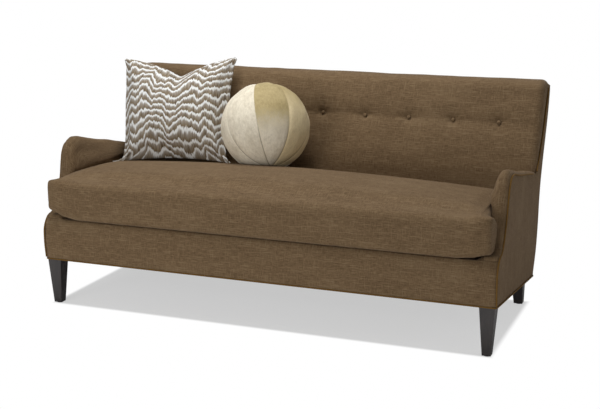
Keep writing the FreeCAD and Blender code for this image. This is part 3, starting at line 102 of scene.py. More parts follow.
def ripples(a, b, size, seed):
    """A soft, seeded unevenness between about -1 and 1, with waves of about this size."""
    rng = np.random.default_rng(seed)
    total = np.zeros(np.broadcast(a, b).shape)
    for _ in range(9):
        angle = rng.uniform(0, 2 * math.pi)
        wave = size * rng.uniform(0.7, 1.7)
        phase = rng.uniform(0, 2 * math.pi)
        total += np.sin((a * math.cos(angle) + b * math.sin(angle)) * 2 * math.pi / wave + phase)
    return total / 3.6


def smoothstep(low, high, value):
    """0 at low, 1 at high, and soft between. Low may be the larger one."""
    share = np.clip((value - low) / (high - low), 0.0, 1.0)
    return share * share * (3 - 2 * share)


# %% Sheets of cloth from rows of points
def sheet_mesh(name, points, uv, closing=None):
    """A mesh from rows and columns of points, with its cloth coordinates in metres.

    A closing step joins the last row to the first, with that much cloth between them, and caps both ends.
    """
    rows, columns = points.shape[:2]
    index = np.arange(rows * columns).reshape(rows, columns)
    if closing is not None:
        index = np.vstack([index, index[:1]])
        uv = np.concatenate([uv, uv[-1:] + closing])
    corners = [(slice(None, -1), slice(None, -1)), (slice(None, -1), slice(1, None)),
               (slice(1, None), slice(1, None)), (slice(1, None), slice(None, -1))]
    faces = np.stack([index[c] for c in corners], axis=-1).reshape(-1, 4).tolist()
    cloth = np.stack([uv[c] for c in corners], axis=2).reshape(-1, 2)
    if closing is not None:
        for column in (0, columns - 1):
            faces.append(index[:rows, column].tolist())
            cloth = np.vstack([cloth, points[:, column, 1:]])
    mesh = bpy.data.meshes.new(name)
    mesh.from_pydata(points.reshape(-1, 3).tolist(), [], faces)
    layer = mesh.uv_layers.new(name="Cloth")
    layer.data.foreach_set("uv", cloth.astype(np.float32).ravel())
    return tidy_mesh(mesh)


def tidy_mesh(mesh, merge=0.0, flat=False):
    """Faces point outwards, and are shaded smooth unless the mesh is a flat-sided one."""
    work = bmesh.new()
    work.from_mesh(mesh)
    if merge:
        bmesh.ops.remove_doubles(work, verts=work.verts, dist=merge)
    bmesh.ops.recalc_face_normals(work, faces=work.faces)
    for face in work.faces:
        face.smooth = not flat
    work.to_mesh(mesh)
    work.free()
    return mesh


def mesh_from(work, name, flat=False):
    """The mesh that some bmesh work has built, which is then freed."""
    mesh = bpy.data.meshes.new(name)
    work.to_mesh(mesh)
    work.free()
    return tidy_mesh(mesh, flat=flat)


# The sign of x on each side of the settee, and the word that names it
SIDES = ((1, "right"), (-1, "left"))


def piece(name, mesh, material, body, stands_for=()):
    """A finished piece of the settee: its finish, what it rides on and which CAD solids it replaces."""
    made = bpy.data.objects.new(name, mesh)
    scene.collection.objects.link(made)
    made.data.materials.clear()
    made.data.materials.append(material)
    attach(made, body)
    if stands_for:
        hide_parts(*stands_for)
    print("%-22s %6d faces" % (name, len(mesh.polygons)))
    return made


# %% [markdown]
# ## Stuffing and resting
# Down and fibre push a cover out until its seams hold it. Blender's cloth simulation does that with
# air pressure: it runs on a copy, and each point takes a part of its movement, within a cap. A pillow
# is then pressed flat where it would sink into the seat or the back.


# %% Swelling a cover and pressing it flat
SIMULATED_FRAMES = 20


def stuffed(mesh, pressure, cap, share):
    """Swells a closed cover. The share of each point says how far it may follow, from 0 to 1."""
    made = bpy.data.objects.new("stuffing", mesh.copy())
    scene.collection.objects.link(made)
    cloth = made.modifiers.new("Cloth", "CLOTH")
    cloth.settings.quality = 4
    cloth.settings.mass = 0.25
    cloth.settings.tension_stiffness = 12
    cloth.settings.compression_stiffness = 8
    cloth.settings.shear_stiffness = 4
    cloth.settings.bending_stiffness = 0.6
    cloth.settings.shrink_min = -0.012
    cloth.settings.use_pressure = True
    cloth.settings.uniform_pressure_force = pressure
    cloth.settings.effector_weights.gravity = 0.0
    cloth.point_cache.frame_end = SIMULATED_FRAMES
    for step in range(1, SIMULATED_FRAMES + 1):
        scene.frame_set(step)
    swollen = made.evaluated_get(bpy.context.evaluated_depsgraph_get()).to_mesh()
    count = len(mesh.vertices)
    before = np.empty(count * 3)
    after = np.empty(count * 3)
    outward = np.empty(count * 3)
    mesh.vertices.foreach_get("co", before)
    swollen.vertices.foreach_get("co", after)
    mesh.vertex_normals.foreach_get("vector", outward)
    before, after, outward = (v.reshape(-1, 3) for v in (before, after, outward))
    moved = after - before
    share = np.broadcast_to(share(before), count)[:, None]
    swell = np.sum(moved * outward, axis=1, keepdims=True)
    mean = float(np.sum(swell * share) / max(float(np.sum(share)), 1.0))
    moved = moved - outward * mean
    length = np.maximum(np.linalg.norm(moved, axis=1, keepdims=True), 1e-9)
    moved = moved * (cap * np.tanh(length / cap) / length) * share
    mesh.vertices.foreach_set("co", (before + moved).ravel())
    bpy.data.objects.remove(made)
    scene.frame_set(1)
    furthest = float(np.max(np.linalg.norm(moved, axis=1)))
    print("stuffed: mean swell %.1f mm, points moved up to %.1f mm" % (mean * 1000, 1000 * furthest))


def surface(mesh):
    """What rays can hit: a mesh's faces."""
    return BVHTree.FromPolygons([v.co for v in mesh.vertices], [p.vertices[:] for p in mesh.polygons])


def pressed(mesh, tree, way, gap=0.001):
    """Flattens a pillow against a surface. The way is a unit vector out of that surface."""
    count = 0
    for vertex in mesh.vertices:
        hit = tree.ray_cast(vertex.co + way * 0.5, -way)[0]
        if hit is not None and (vertex.co - hit).dot(way) < gap:
            vertex.co = hit + way * gap
            count += 1
    print("pressed flat:", count, "points")


# %% [markdown]
# ## Shader maths
# A cloth or a wood is a sum of patterns. This class lets them be written as Python expressions: each
# operator adds the Math node that it stands for, and one method adds any other node.


# %% Shader expressions
class Value:
    """One output of a node, with Python's operators."""

    def __init__(self, finish, socket):
        self.finish = finish
        self.socket = socket

    def maths(self, operation, *others, clamp=False):
        settings = {"operation": operation, "use_clamp": clamp}
        return self.finish.node("ShaderNodeMath", settings, dict(enumerate((self,) + others)))

    def __add__(self, other):
        return self.maths("ADD", other)

    def __mul__(self, other):
        return self.maths("MULTIPLY", other)

    def __sub__(self, other):
        return self.maths("SUBTRACT", other)

    def __rsub__(self, other):
        return self.maths("MULTIPLY", -1.0).maths("ADD", other)

    __radd__ = __add__
    __rmul__ = __mul__

    def clamp(self):
        return self.maths("ADD", 0.0, clamp=True)

    def smooth(self, low, high):
        """0 below low, 1 above high, and soft between."""
        return self.finish.node("ShaderNodeMapRange", {"interpolation_type": "SMOOTHSTEP"},
                                {"Value": self, "From Min": low, "From Max": high})


def colour(red, green, blue):
    """A colour in screen numbers, 0 to 255, turned into light."""
    parts = [c / 255 for c in (red, green, blue)]
    return tuple(c / 12.92 if c <= 0.04045 else ((c + 0.055) / 1.055) ** 2.4 for c in parts) + (1.0,)


class Finish:
    """A material whose shader is built from values and nodes."""

    def __init__(self, name, **sockets):
        self.material = bpy.data.materials.new(name)
        self.material.use_nodes = True
        self.tree = self.material.node_tree
        self.shader = self.tree.nodes["Principled BSDF"]
        self.set(**sockets)

    def set(self, **sockets):
        for name, value in sockets.items():
            self.feed(self.shader.inputs[name.replace("_", " ")], value)

    def feed(self, socket, value):
        if isinstance(value, Value):
            self.tree.links.new(value.socket, socket)
        else:
            socket.default_value = value

    def node(self, kind, settings, inputs, output=0):
        """A node with its settings, fed with values or plain numbers. Its output is a value again."""
        made = self.tree.nodes.new(kind)
        for name, value in settings.items():
            setattr(made, name, value)
        for key, value in inputs.items():
            self.feed(made.inputs[key], value)
        return Value(self, made.outputs[output])

    def cloth(self):
        """Where a point lies on the flat cloth, in metres."""
        return self.node("ShaderNodeUVMap", {"uv_map": "Cloth"}, {})

    def place(self):
        """Where a point lies in the settee, in metres."""
        return self.node("ShaderNodeTexCoord", {}, {}, "Object")

    def scaled(self, vector, x, y, z=1.0):
        return self.node("ShaderNodeVectorMath", {"operation": "MULTIPLY"}, {0: vector, 1: (x, y, z)})

    def noise(self, vector, scale, detail=2.0, rough=0.5):
        return self.node("ShaderNodeTexNoise", {},
                         {"Vector": vector, "Scale": scale, "Detail": detail, "Roughness": rough})

    def part(self, vector, axis):
        return self.node("ShaderNodeSeparateXYZ", {}, {0: vector}, axis)

    def mix(self, factor, first, second):
        return self.node("ShaderNodeMix", {"data_type": "RGBA"}, {0: factor, 6: first, 7: second}, 2)

    def bump(self, height, strength, distance):
        return self.node("ShaderNodeBump", {},
                         {"Strength": strength, "Distance": distance, "Height": height})


# %% [markdown]
# ## The brown linen
# A slubby plain weave in cocoa brown: uneven weft threads make short light and dark streaks along the
# cloth, the warp makes fainter ones across it, and both stand up a little.


# %% Linen and piping cloth
def linen(name, dark, light, fleck):
    """Each noise is drawn out along or across the cloth by how its two coordinates are scaled."""
    cloth = Finish(name, Roughness=0.92, Sheen_Weight=0.03, Sheen_Roughness=0.5, Specular_IOR_Level=0.12)
    at = cloth.cloth()
    weft = cloth.noise(cloth.scaled(at, 42.0, 520.0), 1.0, 3.0, 0.65)
    warp = cloth.noise(cloth.scaled(at, 560.0, 48.0), 1.0, 3.0, 0.65)
    slub = cloth.noise(cloth.scaled(at, 15.0, 200.0), 1.0, 2.0)
    upright = cloth.noise(cloth.scaled(at, 210.0, 13.0), 1.0, 2.0)
    broad = cloth.noise(cloth.scaled(at, 5.0, 26.0), 1.0, 3.0)
    u = cloth.part(at, 0)
    v = cloth.part(at, 1)
    threads = (u * 4200.0).maths("SINE") * (v * 4200.0).maths("SINE")
    tone = (weft - 0.5) * 1.9 + (warp - 0.5) * 1.4 + (broad - 0.5) * 0.5 + threads * 0.10 + 0.5
    rubbed = cloth.noise(cloth.scaled(at, 3.0, 7.0), 1.0, 3.0, 0.6).smooth(0.50, 0.72) * 0.16
    body = cloth.mix(rubbed, cloth.mix(tone.clamp(), dark, light), fleck)
    flecks = slub.smooth(0.52, 0.72) * 0.42 + upright.smooth(0.54, 0.74) * 0.26
    cloth.set(Base_Color=cloth.mix(flecks.clamp(), body, fleck))
    height = weft * 0.5 + warp * 0.4 + threads * 0.25 + slub.smooth(0.58, 0.74) * 0.4
    cloth.set(Normal=cloth.bump(height, 0.3, 0.0006))
    return cloth.material


brown_linen = linen("brown_linen", colour(82, 63, 43), colour(128, 106, 79), colour(142, 121, 93))
piping_cloth = linen("piping_cloth", colour(82, 59, 27), colour(128, 96, 48), colour(138, 108, 60))

# %% [markdown]
# ## The back
# The back is one padded body. Its face swells, its crest and ends are rounded, and a row of nine
# buttons pulls a long tuck into it. The cover is a sheet of rows up the face and over the crest, moved
# in and out by what the padding and the twines do to it.

# %% Side view of the base and the back
FRONT = -0.445
DECK_FRONT = 0.3527
HEM_FRONT = 0.188
HEM_SLOPE = 0.072 / 0.706
FACE_FOOT = (0.150, 0.2920)
SHOULDER = 0.858
FACE_SLOPE = 0.185 / (SHOULDER - FACE_FOOT[1])
SIDE = 0.909


def deck_at(y):
    """Height of the seat deck, which falls towards the rear."""
    return DECK_FRONT - HEM_SLOPE * (y - FRONT)


def hem_at(y):
    """Height of the hem, which falls as the deck does."""
    return HEM_FRONT - HEM_SLOPE * (y - FRONT)


def back_profile(x):
    """Points up the face, over the crest and to the rear edge, one column for each x."""
    t = np.abs(x) / SIDE
    crown = 0.026 * (1 - 0.5 * t ** 5)
    line = [np.broadcast_to(FACE_FOOT, (len(x), 2))]
    for up, out in ((0.15, 0.03), (0.3, 0.13), (0.37, 0.40), (0.44, 0.73), (0.55, 0.97), (0.66, 0.93),
                    (0.78, 0.70), (0.87, 0.60), (0.95, 0.32)):
        z = FACE_FOOT[1] + (SHOULDER - FACE_FOOT[1]) * up
        y = FACE_FOOT[0] + FACE_SLOPE * (z - FACE_FOOT[1]) - crown * out
        line.append(gathered(y, z))
    run = 0.1392
    for along, up in ((0.0, 0.05), (0.07, 0.48), (0.19, 0.80), (0.34, 0.95), (0.58, 1.0), (0.86, 0.80),
                      (1.0, -0.05)):
        y = FACE_FOOT[0] + FACE_SLOPE * (SHOULDER - FACE_FOOT[1]) + run * along
        z = SHOULDER + 0.007 * t ** 2 * (1 - along) + 0.025 * up
        line.append(gathered(y, z))
    return np.array(line)


BUTTONS = [0.186 * (k - 4) for k in range(9)]
BUTTON_ROW = 0.728
BUTTON_PLACE = (0.2873, 0.7241)


# %% What the buttons and the padding do to the face
def button_pull(x, z):
    """How far the face moves out (+) or in (-) round the row of buttons."""
    up = (z - BUTTON_ROW) / math.cos(math.atan(FACE_SLOPE))
    nearest = np.min([np.abs(x - place) for place in BUTTONS], axis=0)
    fall = np.where(up > 0, 0.022, 0.040)
    crease = np.exp(-(np.sqrt(up ** 2 + 0.0035 ** 2) - 0.0035) / fall)
    moved = -(0.0045 + 0.0035 * np.exp(-(nearest / 0.045) ** 2)) * crease
    for k, place in enumerate(BUTTONS):
        away = np.hypot(x - place, up)
        angle = np.arctan2(up, x - place)
        folds = np.cos(6 * angle + 1.7 * k) * 0.6 + np.cos(9 * angle - 2.3 * k) * 0.4
        ring = np.exp(-((away - 0.026) / 0.016) ** 2)
        moved += -0.0070 * np.exp(-(away / 0.017) ** 2) - 0.0028 * np.exp(-(away / 0.042) ** 2)
        moved += 0.0011 * folds * ring
    return moved


def back_cover():
    """The padded back, with ends rounded by this radius."""
    radius = 0.030
    turn = np.linspace(math.pi / 2, 0, 10)
    flat = np.linspace(-(SIDE - radius), SIDE - radius, 361)[1:-1]
    end = SIDE - radius + radius * np.sin(turn)
    inset = radius * (1 - np.cos(turn))
    x = np.r_[-end, flat, end[::-1]]
    inset = np.r_[inset, 0 * flat, inset[::-1]]
    line = through(back_profile(x), 190)
    slope = directions(line)
    out = gathered(-slope[..., 1], slope[..., 0])
    reach = distances(line[:, len(x) // 2])
    near_rear = smoothstep(0.0, 0.03, reach[-1] - reach)[:, None]
    up = line[..., 1]
    across = x[None, :]
    along = reach[:, None]
    sway = 0.0013 * ripples(across, along, 0.34, 5) + 0.0005 * ripples(across, along, 0.09, 6)
    near_end = smoothstep(0.0, 0.02, SIDE - np.abs(across))
    moved = (button_pull(across, up) + sway) * near_rear * near_end
    moved -= inset[None, :] * near_rear
    y = line[..., 0] + out[..., 0] * moved
    z = line[..., 1] + out[..., 1] * moved
    flat_x = np.r_[0.0, np.cumsum(np.hypot(np.diff(x), np.diff(inset)))] - SIDE
    return sheet_mesh("back_cover", gathered(x, y, z), gathered(flat_x, along), closing=(0.0, 0.6))


back = back_cover()
piece("back_upholstery", back, brown_linen, "settee_frame",
      ["inside_back_cover", "back_foam"])

# %% [markdown]
# ## The arms
# Each arm is a padded slab that leans and scrolls forward: in side view it rises from the base in an
# S-line, and across its thickness it rolls down to the seat. The roll is set by how far each line
# across the arm stands back from the front and the top.

# %% Side view of the arm
ARM_FRONT = [(0.093, 0.0), (0.12, 0.02), (0.36, 0.065), (0.63, 0.27), (0.787, 0.495), (0.91, 0.745),
             (1.0, 0.885), (1.10, 0.962), (1.27, 1.0), (1.50, 0.997)]
ARM_TOP = [(0.075, 0.968), (0.20, 0.915), (0.45, 0.82), (0.72, 0.715), (1.0, 0.595)]
ARM_ROLL = [(0.0, 1.0, 1.0), (0.05, 0.65, 0.76), (0.125, 0.35, 0.53), (0.235, 0.15, 0.24),
            (0.44, 0.03, 0.05), (0.64, 0.0, 0.0), (0.84, 0.03, 0.03), (1.0, 0.18, 0.145)]
ARM_INNER = 0.845
ARM_WIDTH = 0.064
ARM_HEIGHT = 0.651
ARM_REAR = 0.300
FRONT_ROUND = 0.034
TOP_ROUND = 0.110


def arm_line(front_inset, top_inset):
    """The arm in side view: from its foot up the front, and over the top to the back."""
    rise = ARM_HEIGHT - DECK_FRONT - top_inset
    front = [(FRONT + 0.150 * a + front_inset, DECK_FRONT + rise * b) for a, b in ARM_FRONT]
    peak = front[-1][0]
    top = [(peak + (ARM_REAR - peak) * a, DECK_FRONT + rise * b) for a, b in ARM_TOP]
    return np.array([gathered(y, z) for y, z in front + top])


def settled(points, side):
    """No two arms are stuffed alike: the left one scrolls further forward, the right one is lower."""
    moved = np.array(points, dtype=float)
    y, z = moved[..., -2], moved[..., -1]
    if side < 0:
        moved[..., -2] = y - 0.006 * smoothstep(0.50, 0.60, z) * smoothstep(0.05, -0.15, y)
    else:
        moved[..., -1] = z - 0.011 * smoothstep(0.54, 0.62, z)
    return moved


def arm_cover(side, name):
    """A closed arm. Its inner face is made of nested lines, and runs down to just below the deck."""
    roll = through(ARM_ROLL, 30)
    face = np.linspace(2.5, 1.0, 14)[:-1]
    x = np.r_[np.full(len(face), ARM_INNER), ARM_INNER + ARM_WIDTH * roll[:, 0]]
    front_inset = FRONT_ROUND * np.r_[face, roll[:, 1]]
    top_inset = TOP_ROUND * np.r_[face, roll[:, 2]]
    line = through(arm_line(front_inset, top_inset), 150)
    reach = distances(line[:, -8])
    reach = np.r_[reach, reach[-1] + 0.1, reach[-1] + 0.8][:, None]
    inner = np.r_[np.linspace(1.0, 0.0, len(face) + 1)[:-1], np.zeros(len(roll))]
    over = (x[None, :] - ARM_INNER) / ARM_WIDTH
    tuck = smoothstep(0.30, 0.05, over[0])[:, None]
    foot, tip = line[0], line[-1]
    foot_y, tip_y = foot[:, 0], tip[:, 0] + 0.004 * (1 - inner)
    under = [gathered(at, deck_at(at) - 0.020 + 0.012 * inner) for at in (tip_y, foot_y)]
    closing = [tip + 0.01 * (foot - tip), foot + 0.01 * (tip - foot)]
    edge = [low * tuck + straight * (1 - tuck) for low, straight in zip(under, closing)]
    line = np.concatenate([line, edge[0][None], edge[1][None]])
    y, z = line[..., 0], line[..., 1]
    across = np.r_[0.0, np.cumsum(np.hypot(np.diff(x), np.diff(top_inset)))][None, :]
    at_bend = np.exp(-((reach - 0.36) / 0.035) ** 2)
    pleats = 0.0013 * np.sin(over * 26) * at_bend * smoothstep(0.3, 1.0, over)
    sway = 0.0010 * ripples(reach, across, 0.13, 11 + side) * smoothstep(0.0, 0.1, 1 - over)
    puff = 0.008 * smoothstep(0.512, 0.532, z) * smoothstep(0.60, 0.545, z) * smoothstep(0.5, 0.05, over)
    points = gathered(side * (x - puff), y + pleats, z + sway + pleats)
    return sheet_mesh(name, settled(points, side), gathered(reach, across), closing=(0.4, 0.0))


for side, mark in SIDES:
    cover = arm_cover(side, "arm_upholstery_" + mark)
    piece(cover.name, cover, brown_linen, "settee_frame",
          ["inside_arm_cover_" + mark, "arm_foam_" + mark])

# %% [markdown]
# ## The base
# The front rail's cover swells a little over its padding, runs from the hem up and over the rail, and
# turns its corners at the arms. The deck and the outside back are stretched sheets.


# %% Covers of the base, the deck and the back's rear
BASE_MIDDLE = [(0.0, 0.0), (-0.6, 0.22), (-1.0, 0.45), (-0.8, 0.66), (-0.3, 0.83), (0.35, 0.93),
               (1.4, 0.985), (3.0, 0.985), (5.5, 0.972), (8.5, 0.956)]
BASE_AT_ARM = [(0.0, 0.0), (-0.6, 0.22), (-1.0, 0.45), (-0.8, 0.66), (-0.2, 0.83), (0.8, 0.93), (2.1, 1.0),
               (4.2, 1.055), (6.6, 1.13), (8.5, 1.22)]


def front_base():
    """The front rail's cover, from the hem up and over the rail. It ends higher in front of the arms."""
    half_length = 0.911
    x = np.linspace(-half_length, half_length, 245)
    t = np.abs(x) / SIDE
    at_arm = smoothstep(0.841, 0.847, np.abs(x))
    line = []
    for middle, arm in zip(BASE_MIDDLE, BASE_AT_ARM):
        out = middle[0] + (arm[0] - middle[0]) * at_arm
        up = middle[1] + (arm[1] - middle[1]) * at_arm
        y = FRONT + 0.008 * out + 0.004 * smoothstep(0.985, 1.0, t)
        line.append(gathered(y, 0.191 + 0.1617 * up))
    line = through(np.array(line), 48)
    y, z = line[..., 0], line[..., 1]
    wave = 0.0016 * ripples(x[None, :], z, 0.42, 21) + 0.0006 * ripples(x[None, :], z, 0.10, 22)
    y = y + wave * smoothstep(0.19, 0.215, z)
    return sheet_mesh("front_cover", gathered(x, y, z), gathered(x, z + y * 0.2))


def stretched(name, x_half, line, puff, seed):
    """A taut sheet across the settee, along a line in side view."""
    x = np.linspace(-x_half, x_half, 161)
    line = through(np.array(line), 70)
    slope = directions(line)
    reach = distances(line)[:, None]
    edge = smoothstep(0, 0.05, x_half - np.abs(x))[None, :] * smoothstep(0, 0.05, reach)
    edge = edge * smoothstep(0, 0.05, reach[-1] - reach)
    moved = edge * (puff + 0.35 * abs(puff) * ripples(x[None, :], reach, 0.30, seed))
    y = line[:, :1] + slope[:, 1:] * moved
    z = line[:, 1:] - slope[:, :1] * moved
    print("cut size %.3f x %.3f m" % (2 * x_half, reach[-1, 0]))
    return sheet_mesh(name, gathered(x, y, z), gathered(x, reach))


def solidified(made, thickness):
    """Gives a sheet its cloth's thickness, inwards."""
    wall = made.modifiers.new("Thickness", "SOLIDIFY")
    wall.thickness = thickness
    wall.offset = -1.0
    bpy.context.view_layer.update()
    made.data = bpy.data.meshes.new_from_object(made.evaluated_get(bpy.context.evaluated_depsgraph_get()))
    made.modifiers.clear()


REAR_LINE = [(0.0, 0.0), (0.22, 0.127), (0.315, 0.262), (0.357, 0.42), (0.41, 0.50), (0.48, 0.56),
             (0.955, 0.925), (1.0, 1.0)]
REAR = 0.261


def rear_edge(foot, height):
    """The settee's rear in side view, from the hem to the crest."""
    return [(REAR + 0.214 * a, foot + height * b) for a, b in REAR_LINE]


base = piece("front_base", front_base(), brown_linen, "settee_frame",
             ["front_rail_cover", "front_rail_pad"])
solidified(base, 0.002)
rear_cover = piece("outside_back", stretched("outside_back", SIDE, rear_edge(0.119, 0.739), 0.002, 31),
                   brown_linen, "settee_frame", ["outside_back_cover"])
deck_line = [(y, deck_at(y)) for y in (-0.374, -0.17, 0.03, 0.233)]
piece("seat_deck", stretched("seat_deck", 0.878, deck_line, 0.004, 33), brown_linen, "settee_frame",
      ["deck_cover", "deck_pad"])

# %% [markdown]
# ## The seat cushion
# One long cushion fills the seat, and its front corners reach round the arms. It is a closed sleeve of
# sections along its length: a blunt nose, a crowned top, a leaning rear and a flat underside.

# %% Sections of the seat cushion
NOSE_MIDDLE = [(-0.4, 0.0), (0.25, 0.03), (0.70, 0.13), (0.97, 0.33), (1.0, 0.56), (0.83, 0.813),
               (0.5, 0.934), (-0.27, 1.0)]
NOSE_END = [(-0.33, 0.0), (0.1, 0.025), (0.37, 0.08), (0.45, 0.30), (0.467, 0.54), (0.4, 0.907),
            (0.3, 0.975), (0.067, 1.0)]
SEAM_HEIGHT = 0.029
CUSHION_HALF = 0.888
CUSHION_BOTTOM = 0.3532
CUSHION_TOP = 0.519
ZIP_PLACE = (0.165, 0.377)
CUSHION_STATIONS = [(0.0, 0.0, 0.0, 0.0), (0.68, 0.0, 0.0, 0.0), (0.86, 0.0, 0.0, 0.1),
                    (0.93, 0.33, 0.1, 0.35), (0.965, 0.78, 0.35, 0.7), (1.0, 1.0, 1.0, 1.0)]


def cushion_loop(x, ear):
    """One section: nose, crown, rear and underside. An ear stops at the front of the arm."""
    share = abs(x) / CUSHION_HALF
    place, rise, drop, end = zip(*CUSHION_STATIONS)
    rise = np.interp(share, place, rise) * (0.62 if x > 0 else 1.0)
    drop = np.interp(share, place, drop)
    end = np.interp(share, place, end)
    low = CUSHION_BOTTOM + 0.037 * rise
    high = CUSHION_TOP - 0.003 * share ** 2 - 0.008 * drop
    near_corner = np.clip((share - 0.973) / 0.027, 0, 0.98)
    corner = (0.020 if x > 0 else 0.009) * (1 - math.sqrt(1 - near_corner ** 2))
    nose = [(FRONT + corner - 0.030 * (a + (c - a) * end), low + (high - low) * (b + (d - b) * end))
            for (a, b), (c, d) in zip(NOSE_MIDDLE, NOSE_END)]
    start = np.array(nose[-1])
    rear = np.array([0.194, 0.4605 - 0.003 * share ** 2 - 0.008 * drop])
    bulge = 0.062 - 0.036 * share ** 2
    s = np.linspace(0, 1, 41)[:, None]
    crown = start + (rear - start) * s
    crown[:, 1] += 4 * bulge * (s * (1 - s))[:, 0]
    foot = (0.1455, deck_at(0.1455) + 0.001)
    wall = [rear, (0.179, 0.4190), ZIP_PLACE, (0.157, 0.350), foot]
    if ear:
        over, front_roll, top_roll = zip(*ARM_ROLL)
        across = (abs(x) - ARM_INNER) / ARM_WIDTH
        inset = FRONT_ROUND * np.interp(across, over, front_roll) - 0.0012
        arm = arm_line(np.array([inset]), np.array([TOP_ROUND * np.interp(across, over, top_roll)]))[:7, 0]
        fall = np.interp(abs(x), [0.844, 0.857, 0.864, 0.875, CUSHION_HALF],
                         [0.002, 0.014, 0.034, 0.040, 0.047])
        back = np.clip((crown[:, 0] + 0.44) / 0.09, 0, 1.3)
        crown[:, 1] -= fall * back ** 1.6
        behind = crown[:, 0] > np.interp(crown[:, 1], arm[:, 1], arm[:, 0]) - 0.004
        crown = crown[:max(int(np.argmax(behind)), 3)]
        heights = np.linspace(crown[-1, 1] - 0.004, low + 0.004, 6)
        wall = [(np.interp(h, arm[:, 1], arm[:, 0]), h) for h in heights]
        foot = (wall[-1][0] - 0.003, low + 0.0005)
        wall.append(foot)
    floor = np.linspace(foot, nose[0], 6)
    front = through(nose, 50)
    front[:, 0] += 0.0016 * np.exp(-((front[:, 1] - low - SEAM_HEIGHT) / 0.0035) ** 2)
    loop = [front, through(crown, 62)[1:], through(wall, 22)[1:], through(floor, 32)[1:-1]]
    return np.vstack(loop)


def soften(points, times):
    """Rounds the corners of a closed loop of points."""
    for _ in range(times):
        points = points + 0.5 * ((np.roll(points, 1, axis=0) + np.roll(points, -1, axis=0)) / 2 - points)
    return points


def cushion_mesh():
    """All sections side by side: the ears, with a small round at each end, and the length between."""
    inner = 0.8438
    rim = np.linspace(0, math.pi / 2, 6)[1:]
    ear = np.r_[np.linspace(inner + 0.0004, 0.880, 14), 0.880 + 0.007 * np.sin(rim)]
    tuck = np.r_[np.zeros(14), 0.007 * (1 - np.cos(rim))]
    ears = list(zip(ear, tuck))
    places = [(-x, True, t) for x, t in ears[::-1]]
    places += [(x, False, 0.0) for x in np.linspace(-inner, inner, 190)]
    places += [(x, True, t) for x, t in ears]
    loops = []
    for place, is_ear, inset in places:
        loop = soften(cushion_loop(place, is_ear), 3 if is_ear else 6)
        middle = loop.mean(axis=0)
        size = np.ptp(loop, axis=0) / 2
        loops.append(middle + (loop - middle) * (1 - inset / np.maximum(size, 0.02)))
    loops = np.array(loops).transpose(1, 0, 2)
    across = np.array([section[0] for section in places])
    reach = distances(loops[:, len(places) // 2])[:, None]
    points = gathered(across, loops[..., 0], loops[..., 1])
    return sheet_mesh("seat_cushion", points, gathered(across, reach), closing=(0.0, 0.02))


def cushion_share(points):
    """The crown and the nose may swell; what touches the arms, the back or the deck may not."""
    x, y, z = points.T
    return smoothstep(0.836, 0.78, np.abs(x)) * smoothstep(0.12, 0.04, y) * smoothstep(0.37, 0.41, z)


cushion = cushion_mesh()
stuffed(cushion, 3.0, 0.010, cushion_share)
piece("seat_cushion", cushion, brown_linen, "seat_cushion",
      ["seat_cushion_cover", "seat_cushion_wrap", "seat_cushion_core"])

# %% [markdown]
# ## The square pillow
# Two squares of cloth sewn edge to edge. Stuffing draws the sides in, the corners stay flat, and
# a blow with the hand has dented the top. It leans on the back, turned a little to the middle.

# %% Square pillow
PILLOW_HALF = (0.273, 0.252)
PILLOW_CENTRE = Vector((-0.620, FRONT + 0.594, 0.718))


